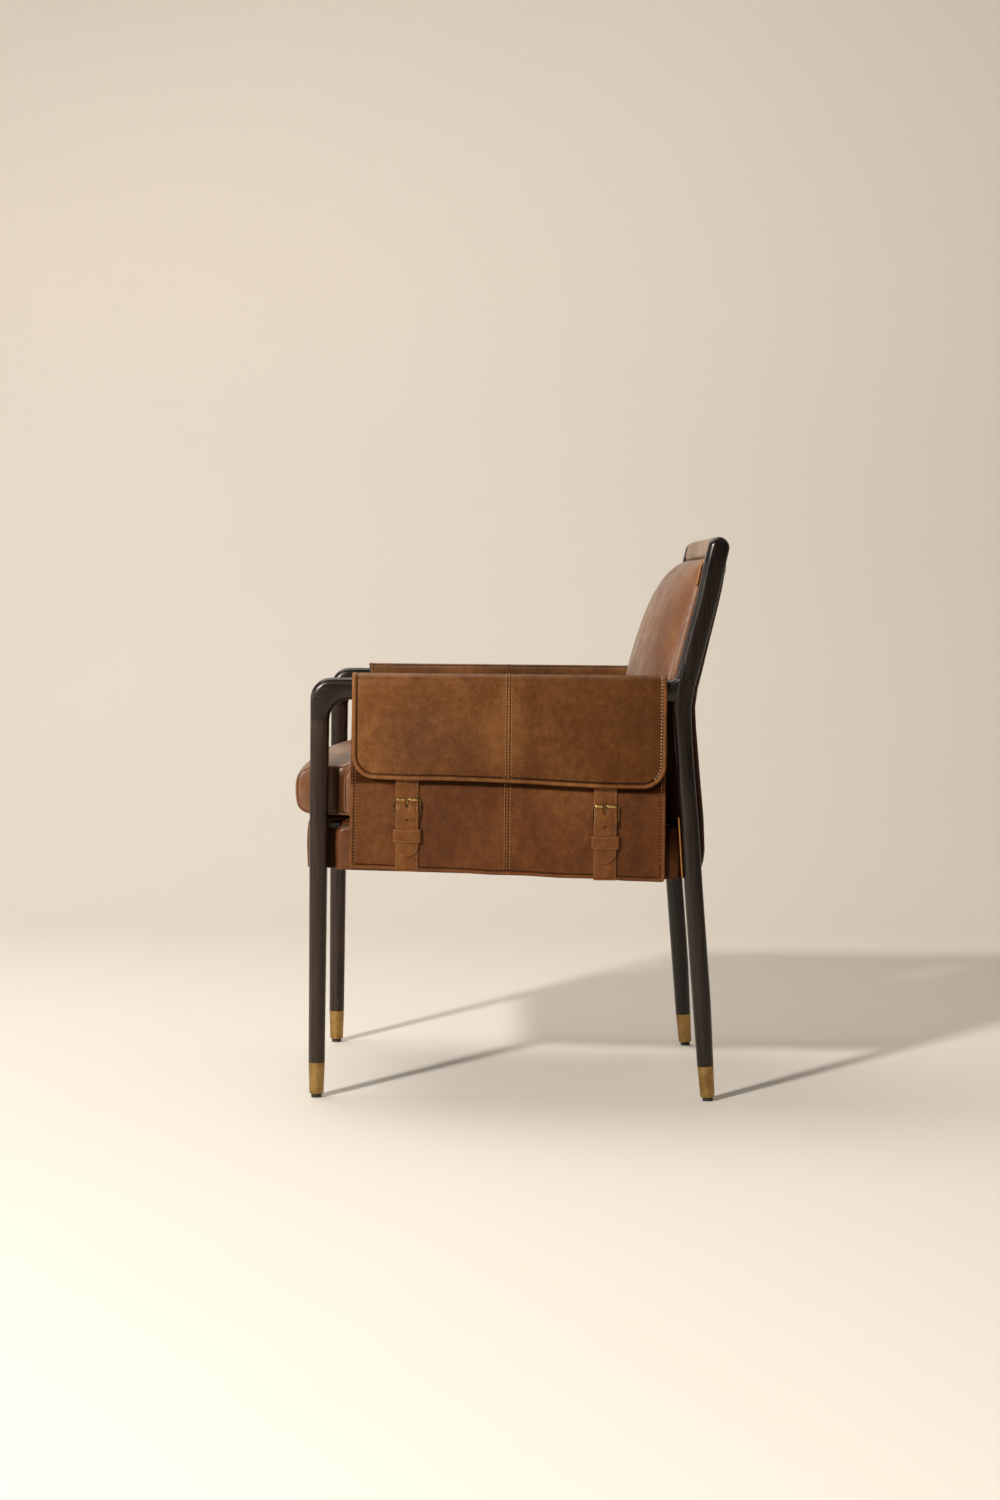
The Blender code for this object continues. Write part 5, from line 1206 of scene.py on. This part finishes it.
def side_panel(word, side):
    """The body of the saddlebag, which hangs outside the legs."""
    def place(u, v, h):
        return np.stack([PANEL_BACK + h, u, v], axis=1)
    corners = [(PANEL_FRONT + 3 * MM, PANEL_TOP, 2 * MM), (PANEL_FRONT, panel_hem(PANEL_FRONT), 5 * MM)]
    corners += [(y, panel_hem(y) + 0.5 * MM * math.sin(y * 61), 0.0) for y in np.linspace(-0.2, 0.2, 17)]
    corners += [(BAG_REAR, panel_hem(BAG_REAR), 5 * MM), (BAG_REAR, PANEL_TOP, 2 * MM)]

    def height(u, v, edge):
        roll = rolled_edge(edge, PANEL_ROLL, 1.1 * MM, 0.8 * MM)
        return roll + seam_ridge(u, 0.8 * MM) * ease((edge - 4 * MM) / (4 * MM))

    def sway(u, v):
        return 0.28 * MM * ripple(u, v, 34.0, 4.2 + side)

    def wear(u, v, edge):
        over = v - flap_hem(u)
        shaded = 0.75 * ease((over + 10 * MM) / (4 * MM)) * (1 - 0.75 * ease((over - 4 * MM) / (34 * MM)))
        shaded = shaded + 0.16 * ease((u - 0.10) / 0.10)
        # Painted shade in the stitch channel and in the grooves beside the centre seam.
        sunk = bands(edge, (0.8, 6.3, 1.7)) + bands(np.abs(u), (0.7, 2.6, 1.2))
        return bands(edge, (0.30, 2.8, 3)) + bands(u, (0.30, 0, 1.8)) - np.maximum(sunk, shaded)
    sheet = Sheet(rounded_outline(corners), place, PANEL_THICKNESS, height, sway, side)
    middle_hem = panel_hem(0)
    lines = upwards([d * MM for d in SEAM_LINES], np.arange(middle_hem + 7 * MM, PANEL_TOP - 8 * MM, 4 * MM))
    for drop in (12, 9, 6, 2):
        ys = np.arange(PANEL_FRONT + 12 * MM, BAG_REAR - 12 * MM, 6 * MM)
        lines.append([(y, flap_hem(y) - drop * MM) for y in ys])
    obj = sheet.build(f"{word}_panel_leather", PANEL, f"{word}_side_panel",
                      edge_rings(PANEL_ROLL), lines, wear=wear)

    inset = sheet.inset(6.4 * MM)
    level = middle_hem + 12 * MM
    ends = []
    for y in (PANEL_FRONT, BAG_REAR):
        ends.append([p for p in inset if abs(p[0] - y) < 9 * MM and level < p[1] < PANEL_TOP - 12 * MM])
    foot = [p for p in inset if p[1] <= level]
    rows = upwards((-3.9 * MM, 3.9 * MM), np.arange(middle_hem + 8 * MM, PANEL_TOP - 12 * MM, 3 * MM))
    sewn = (("edge", ends, TAN_THREAD, 3.0 * MM, 0.50 * MM, 0.5),
            ("foot", [foot], DARK_THREAD, 3.0 * MM, 0.30 * MM, 0.1),
            ("seam", rows, GOLD_THREAD, 3.9 * MM, 0.55 * MM, 0.05))
    for part, seams, material, length, radius, slant in sewn:
        sheet.sew(f"{word}_panel_{part}_threads", seams, material, "saddle_leather", 0.12 * MM,
                  length=length, radius=radius, slant=slant)


def lining(word, side):
    """The leather that wraps over the arm and hangs inside it to below the seat's top."""
    points = [(LINING_OUT_X, LINING_LOW), (LINING_OUT_X, 0.500)]
    for i in range(1, 25):
        share = i / 25
        points.append((LINING_OUT_X - (LINING_OUT_X - LINING_IN_X) * ease(share), 0.500 + 0.100 * share))
    points.append((LINING_IN_X, 0.600))
    inner_top_at = len(points) - 1
    points += arc((LINING_IN_X + LINING_RADIUS, LINING_BEND_Z), LINING_RADIUS, math.pi, math.pi / 2, 14)
    points += arc((HINGE_X, LINING_BEND_Z), LINING_RADIUS, math.pi / 2, 0, 14)
    points.append((HINGE_X + LINING_RADIUS, 0.603))
    place, length, along = bent(points)
    inner_top = float(along[inner_top_at])

    def shifted(u, v, h):
        return place(u, v, h - 1 * MM)

    def height(u, v, edge):
        fold_zone = hump(u - LINING_FRONT - 20 * MM, 26 * MM) * hump(v - inner_top + 12 * MM, 46 * MM)
        folds = 0.8 * MM * np.sin((u + (v - inner_top) * 0.35) * 620.0) * fold_zone
        calm = ease((edge - 6 * MM) / (6 * MM))
        return rolled_edge(edge, LINING_ROLL, 0.7 * MM, 0.4 * MM) + (seam_ridge(u, 0.7 * MM) + folds) * calm

    def wear(u, v, edge):
        # Rubbed roll, painted shade in the stitch channel, and the whole lining made a little darker.
        return bands(edge, (0.3, 2.4, 2.6), (-0.6, 5.5, 1.4)) - 0.28
    outline = oblong(LINING_FRONT, LINING_REAR, 0.0, length, 2 * MM)
    sheet = Sheet(outline, shifted, LINING_THICKNESS, height, side=side)
    lines = across(np.arange(LINING_FRONT, LINING_REAR, 5 * MM), along[2::2])
    lines += upwards([d * MM for d in SEAM_LINES[1:-1]], np.arange(8 * MM, length - 10 * MM, 5 * MM))
    obj = sheet.build(f"{word}_lining_leather", SADDLE, f"{word}_arm_wrap",
                      edge_rings(LINING_ROLL), lines, wear=wear)
    inset = sheet.inset(5.6 * MM)
    rows = upwards((-3.6 * MM, 3.6 * MM), np.arange(10 * MM, inner_top + 8 * MM, 3 * MM))
    sheet.sew(f"{word}_lining_threads", [inset + inset[:1]] + rows, TAN_THREAD, "saddle_leather")


# Straps and keepers, drawn from the buckle's heel bar

HEEL_X = pivots["left_front_prong_hinge"][0]
STRAP_HALF = 16.75 * MM
STRAP_RINGS = [d * MM for d in (0.25, 0.7, 1.3, 2.0, 2.6, 3.0, 3.4, 4.2)]
STRAP_STITCH = {"pitch": 2.9 * MM, "length": 2.2 * MM, "radius": 0.32 * MM}
STRAP_TOP_Z = 0.500425
# End view of the long strap from its heel bar, in millimetres
TIP_STRAP_BENDS = ((-2.05, 27.5), (-1.75, 23.5), (0.6, 18.5), (3.7, 13.2), (5.2, 8.0), (5.4, 3.5),
                   (4.7, -1.8), (0.25, -10.4), (0.25, -63.5))
SLOT_HALF = 2.1 * MM
HOLE_RADIUS = 1.5 * MM
KEEPER_HALF = 21 * MM
KEEPER_WALL = 1.8 * MM
KEEPER_CORNER = 2.2 * MM
KEEPER_SAG = 2.2 * MM
RIB_PITCH = 2.9 * MM
ROLLER_RADIUS = 2.5 * MM


def heel(at):
    """Where the left buckle's heel bar is along the chair, and its height."""
    return pivots[f"left_{at}_prong_hinge"][1:]


def tip_strap(word, side, at):
    """The long strap: down from under the flap, over the buckle and through the keeper to its tip."""
    heel_y, heel_z = heel(at)
    profile = [(-2.05 * MM, STRAP_TOP_Z - heel_z)] + [(x * MM, z * MM) for x, z in TIP_STRAP_BENDS]
    fine = smoothed(spaced_line([(HEEL_X + x, heel_z + z) for x, z in profile], 1.5 * MM), 4)
    place, _, along = bent(fine)

    def at_height(z):
        return float(np.interp(-(heel_z + z), -fine[:, 1], along))
    end = at_height(-61.9 * MM)
    hole_at = at_height(-7.5 * MM)
    slot = oblong(-SLOT_HALF, SLOT_HALF, at_height(18.6 * MM), at_height(11.8 * MM), 1 * MM, step=1.5 * MM)
    turns = np.arange(12) * math.pi / 6
    hole = [(HOLE_RADIUS * math.cos(a), hole_at + HOLE_RADIUS * math.sin(a)) for a in turns]

    def shifted(u, v, h):
        return place(u + heel_y, v, h - 1.1 * MM)

    def height(u, v, edge):
        return cut_edge(edge, 0.55, 1.3) + MM * bands(edge, (-0.28, 3.0, 1.1), (0.12, 8, 6))

    def wear(u, v, edge):
        # Rubbed cut edges, and painted shade along the stitch groove.
        return bands(edge, (0.30, 1, 1.6), (-0.55, 3, 1.2))
    outline = oblong(-STRAP_HALF, STRAP_HALF, 0.0, end, 0, STRAP_HALF - 0.1 * MM, 2.5 * MM)
    sheet = Sheet(outline, shifted, 2.2 * MM, height, side=side)
    lines = across(np.arange(-STRAP_HALF, STRAP_HALF, 3 * MM), np.arange(2 * MM, end, 3 * MM))
    name = f"{word}_{at}_long_strap"
    sheet.build(name, STRAP, f"{word}_{at}_tip_strap", STRAP_RINGS, lines, 4 * MM,
                (slot, hole), wear)
    row = opened([p for p in sheet.inset(3.0 * MM) if p[1] > 6 * MM])
    sheet.sew(f"{name}_threads", [row], TAN_THREAD, "strap_leather", **STRAP_STITCH)


def base_strap(word, side, at):
    """The short strap: up from the panel's hem and round the heel bar, slotted for the prong."""
    heel_y, heel_z = heel(at)
    foot = panel_hem(heel_y) - 1 * MM - heel_z
    profile = [(-2.15 * MM, foot), (-2.15 * MM, -9 * MM), (-0.6 * MM, -4.2 * MM)]
    profile += arc((0.0, 0.0), 2.45 * MM, math.radians(-70), math.radians(200), 16)
    fine = spaced_line([(HEEL_X + x, heel_z + z) for x, z in profile], 1.0 * MM)
    place, length, _ = bent(fine[::-1])
    slot = oblong(-SLOT_HALF, SLOT_HALF, 2 * MM, 16 * MM, 0, step=1.5 * MM)

    def shifted(u, v, h):
        thin = np.interp(v, [15 * MM, 24 * MM], [0.7 * MM, 1.0 * MM])
        return place(u + heel_y, v, h * thin / (1 * MM) - thin)

    def height(u, v, edge):
        return cut_edge(edge, 0.45, 1.2) + MM * bands(edge, (-0.25, 3.0, 1.1))

    def wear(u, v, edge):
        # Rubbed cut edges, and painted shade along the stitch groove.
        return bands(edge, (0.25, 1, 1.6), (-0.5, 3, 1.2))
    outline = oblong(-STRAP_HALF, STRAP_HALF, 0.0, length, 0, 1 * MM, 2.5 * MM)
    sheet = Sheet(outline, shifted, 2.0 * MM, height, side=side)
    lines = across(np.arange(-STRAP_HALF, STRAP_HALF, 3 * MM), np.arange(1.5 * MM, 22 * MM, 1.2 * MM))
    name = f"{word}_{at}_short_strap"
    sheet.build(name, STRAP, f"{word}_{at}_base_strap", STRAP_RINGS, lines, 4 * MM,
                (slot,), wear)
    rows = upwards((-STRAP_HALF + 3 * MM, STRAP_HALF - 3 * MM), np.arange(24 * MM, length - 2 * MM, 3 * MM))
    sheet.sew(f"{name}_threads", rows, TAN_THREAD, "strap_leather", **STRAP_STITCH)


def keeper(word, side, at):
    """The ribbed loop that holds the strap's tip down."""
    heel_y, heel_z = heel(at)
    floor = HEEL_X - 3.15 * MM
    bend_x = HEEL_X + 3.55 * MM - KEEPER_WALL / 2 - KEEPER_CORNER
    mid_y = KEEPER_HALF - KEEPER_WALL / 2
    profile = [(floor, -mid_y)]
    profile += arc((bend_x, -mid_y + KEEPER_CORNER), KEEPER_CORNER, -math.pi / 2, 0, 6)
    profile += arc((bend_x, mid_y - KEEPER_CORNER), KEEPER_CORNER, 0, math.pi / 2, 6)
    profile.append((floor, mid_y))
    place, length, _ = bent(spaced_line([(x, heel_y + y) for x, y in profile], 2 * MM), "xy")
    top, low = heel_z - 21 * MM, heel_z - 40 * MM

    def shifted(u, v, h):
        sag = KEEPER_SAG * np.clip(1 - ((v - length / 2) / (length / 2)) ** 2, 0, 1)
        return place(u - sag + 1.2 * MM, v, KEEPER_WALL / 2 - h)

    def ribs(v, edge):
        return np.sin(2 * math.pi * v / RIB_PITCH) * ease((edge - 2 * MM) / (2 * MM))

    def height(u, v, edge):
        return 0.22 * MM * ribs(v, edge) + cut_edge(edge, 0.4, 1.1) + MM * bands(edge, (-0.35, 2.6, 1.0))

    def wear(u, v, edge):
        # Rib tops rubbed lighter, with painted shade in the troughs between ribs and along the stitch lines.
        return 0.35 * ribs(v, edge) + bands(edge, (0.35, 0.9, 1.5), (-0.4, 2.6, 1.2))
    outline = oblong(low, top, 0.0, length, 0, step=1.5 * MM)
    sheet = Sheet(outline, shifted, KEEPER_WALL, height, side=side)
    lines = across(np.arange(low, top, 1.6 * MM), np.arange(1 * MM, length, 0.72 * MM))
    rings = [d * MM for d in (0.25, 0.7, 1.2, 1.9, 2.6, 3.3)]
    name = f"{word}_{at}_strap_keeper"
    sheet.build(name, STRAP, f"{word}_{at}_keeper", rings, lines, 4 * MM, (), wear)
    rows = upwards((low + 2.6 * MM, top - 2.6 * MM), np.arange(5 * MM, length - 4 * MM, 2 * MM))
    sheet.sew(f"{name}_threads", rows, TAN_THREAD, "strap_leather", pitch=2.9 * MM, length=1.9 * MM,
              radius=0.30 * MM)


def buckle_roller(word, side, at):
    """The two halves of the brass roller on a buckle's front bar, either side of the prong."""
    heel_y, heel_z = heel(at)
    for part, way in (("outer", -1), ("inner", 1)):
        ys = heel_y + way * np.linspace(2.1 * MM, 15.5 * MM, 7)
        points = [(side * (HEEL_X + 0.7 * MM), y, heel_z + 22.9 * MM) for y in ys]
        tube(f"{word}_{at}_roller_{part}", points, ROLLER_RADIUS, ROLLER_BRASS, sides=20)


# Seat base, dust cover, outer back and crest

BASE_NARROW = 0.2455
BASE_WIDE = 0.2683
BASE_FRONT = -0.2955
BASE_SHOULDER = -0.2523
BASE_HEEL = 0.2553
BASE_REAR = 0.2780
BASE_CORNER = 15 * MM
# The underside's fold and the lower edge: (inset, height)
BASE_FOOT = ((10 * MM, 1.8 * MM), (8 * MM, 0.3 * MM), (0.8 * MM, 0.0), (0.0, 1.0 * MM))
DUST_INSET = 9 * MM
DUST_THICKNESS = 1.2 * MM
BACK_THICKNESS = 3.2 * MM
BACK_STITCH_INSET = 15 * MM
BACK_RINGS = [d * MM for d in (0.6, 1.6, 3, 5, 7, 9.5, 12, 13.5, 15, 16.5, 18)]
# How far the outer back stands behind the posts: (height, distance in mm)
BACK_STAND = ((0.345, 3.0), (0.37, 8.0), (0.42, 9.5), (0.50, 9.0), (0.58, 7.5), (0.68, 5.5), (0.76, 4.5),
              (0.798, 3.0))
CREST_THICKNESS = 2.4 * MM
CREST_POINTS = 49
CREST_REACH = 60 * MM


def base_plan(inset, radius=10 * MM):
    """Plan of the seat base: narrow between the legs, wide between legs and posts."""
    narrow, wide = BASE_NARROW - inset, BASE_WIDE - inset
    right = [(narrow, BASE_FRONT + inset, radius), (narrow, BASE_SHOULDER + inset, 0),
             (wide, BASE_SHOULDER + inset, radius), (wide, BASE_HEEL - inset, radius * 0.7),
             (narrow, BASE_HEEL - inset, 0), (narrow, BASE_REAR - inset, 3 * MM)]
    return rounded_outline(right + [(-x, y, r) for x, y, r in reversed(right)], 6 * MM)


def base_point(x, y, z, inset):
    """A point of the base's skin, a little full at the sides and lowered beside the front legs."""
    full = 1.0 * MM * math.sin(math.pi * min(max(z / BASE_TALL, 0), 1)) if inset < 1 * MM else 0.0
    full += 0.5 * MM * wave((x, y, z * 2.5), 26.0, 7.0) * ease(z / (9 * MM))
    way = Vector((x * 0.1, y, 0)).normalized() if abs(y) > 0.2 else Vector((math.copysign(1, x), 0, 0))
    drop = 8 * MM * (1 - ease((y + 0.245) / 0.05)) + 4.5 * MM * (1 - ease((y - BASE_SHOULDER) / (16 * MM)))
    drop *= ease((z - 36 * MM) / (42 * MM)) * ease((abs(x) - 0.215) / 0.020)
    return x + way.x * full * 0.5, y + way.y * full, seat_base_height(y) + z - drop


def base_painted_shade(x, y, z):
    """Painted shade on the base beside the back posts and behind the front legs."""
    side = ease((abs(x) - 0.236) / 0.006)
    deep = ease((y - 0.215) / 0.015) * side * (0.75 + 0.25 * ease((z - 0.345) / 0.05))
    return -max(deep, 0.9 * hump(y + 0.262, 14 * MM) * side)


def seat_base():
    """Leather drawn tight over the seat frame and folded under its lower edge."""
    plan = np.array(base_plan(0.0))
    rise = [*BASE_FOOT] + [(0.0, z * MM) for z in np.arange(5, 62, 5)]
    for across_by, up_by in arc((0, 0), BASE_CORNER, 0, math.pi / 2, 8):
        rise.append((BASE_CORNER - across_by, BASE_TALL - BASE_CORNER + up_by))
    rise += [(BASE_CORNER + 10 * MM, BASE_TALL), (BASE_CORNER + 40 * MM, BASE_TALL)]
    verts = []
    for inset, z in rise:
        verts += [base_point(x, y, z, inset) for x, y in (inset_line(plan, inset) if inset else plan)]
    obj = new_object("seat_base_leather", verts, ring_faces(len(plan), len(rise)), UPHOLSTERY,
                     "chair")

    def close(bm):
        bmesh.ops.triangulate(bm, faces=[f for f in bm.faces if len(f.verts) > 4])
        turn_outwards(bm)
    edit_mesh(obj, close)
    mark_wear_and_shade(obj, [base_painted_shade(*vertex.co) for vertex in obj.data.vertices])
    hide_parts("seat_base_cover")
    for word, side in SIDES:
        post_welt(f"{word}_base_welt", side * 0.2672, post_face(min), 0.331, 0.424, 1.2 * MM)


def dust_cover():
    """Black cloth under the seat frame."""
    def place(u, v, h):
        return np.stack([u, v, seat_base_height(v) + 0.4 * MM - h + DUST_THICKNESS], axis=1)
    sheet = Sheet(base_plan(DUST_INSET, 6 * MM), place, DUST_THICKNESS)
    obj = sheet.build("dust_cloth", DUST_CLOTH, "dust_cover", [1 * MM, 3 * MM],
                      grid_step=16 * MM)


def outer_back():
    """The leather outer back between the posts."""
    low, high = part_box("outer_back_panel")
    half = high.x - 0.3 * MM
    rear = post_face(max)

    def place(u, v, h):
        depth = interp_rows(v, BACK_STAND) + 2.0 * MM * (1 - (np.abs(u) / half) ** 2) + 2 * MM
        return np.stack([u, rear(v) - 2 * MM + depth * h / BACK_THICKNESS, v], axis=1)

    def height(u, v, edge):
        return cut_edge(edge, 1.0, 7) + MM * bands(edge, (-0.15, 15, 2))

    def wear(u, v, edge):
        # Painted shade along the edges and in the stitch groove.
        return -0.8 * (1 - ease((edge - 3 * MM) / (8 * MM))) + bands(edge, (-0.5, 15, 1.6))
    sheet = Sheet(oblong(-half, half, low.z, high.z, 3 * MM, step=6 * MM), place, BACK_THICKNESS, height)
    obj = sheet.build("outer_back_leather", UPHOLSTERY, "outer_back_panel", BACK_RINGS,
                      grid_step=12 * MM, wear=wear)
    inset = sheet.inset(BACK_STITCH_INSET)
    sheet.sew("outer_back_threads", [inset + inset[:1]], RUST_THREAD, "upholstery_leather")


def crest_profile(half):
    """End view of the sleeve, read from its CAD node by rays towards its middle."""
    node = nodes["crest_wrap"]
    ring = {(round(v.co.y, 5), round(v.co.z, 5)) for v in node.data.vertices if v.co.x > half - 1 * MM}
    middle = Vector((0, *np.mean(sorted(ring), axis=0)))
    tree = surface_tree(node)
    points = []
    for i in range(CREST_POINTS):
        angle = math.radians(-100) - 2 * math.pi * i / CREST_POINTS
        way = Vector((0, math.cos(angle), math.sin(angle)))
        hit = tree.ray_cast(middle + way * CREST_REACH, -way)[0]
        points.append((hit.y, hit.z))
    return points[::-1]


def crest_sleeve():
    """The leather sleeve over the crest rail, sewn under it front and rear."""
    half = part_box("crest_wrap")[1].x
    place, length, _ = bent(crest_profile(half), "yz")

    def shifted(u, v, h):
        return place(u, v, CREST_THICKNESS - h)

    def height(u, v, edge):
        fine = 0.35 * MM * np.sin(u * 520 + 3 * np.sin(v * 160)) * hump(v - 0.2 * length, 12 * MM)
        return cut_edge(edge, 0.8, 2) + fine + 0.3 * MM * ripple(u, v, 60.0, 2.2)
    sheet = Sheet(oblong(-half, half, 0.0, length, 1 * MM, step=6 * MM), shifted, CREST_THICKNESS, height)
    lines = across(np.arange(-half, half, 6 * MM), np.arange(2 * MM, length, 3 * MM))
    obj = sheet.build("crest_leather", CREST_SHEEN_LEATHER, "crest_wrap",
                      [0.5 * MM, 1.2 * MM, 2.2 * MM], lines, 12 * MM)


# The stage, then the object piece by piece

stage_scene()
rigid_pieces()
for word, side in SIDES:
    side_panel(word, side)
    lining(word, side)
    flap(word, side)
    for at in PLACES:
        tip_strap(word, side, at)
        base_strap(word, side, at)
        keeper(word, side, at)
        buckle_roller(word, side, at)
seat_base()
dust_cover()
outer_back()
crest_sleeve()
seat_cushion()
back_cushion()
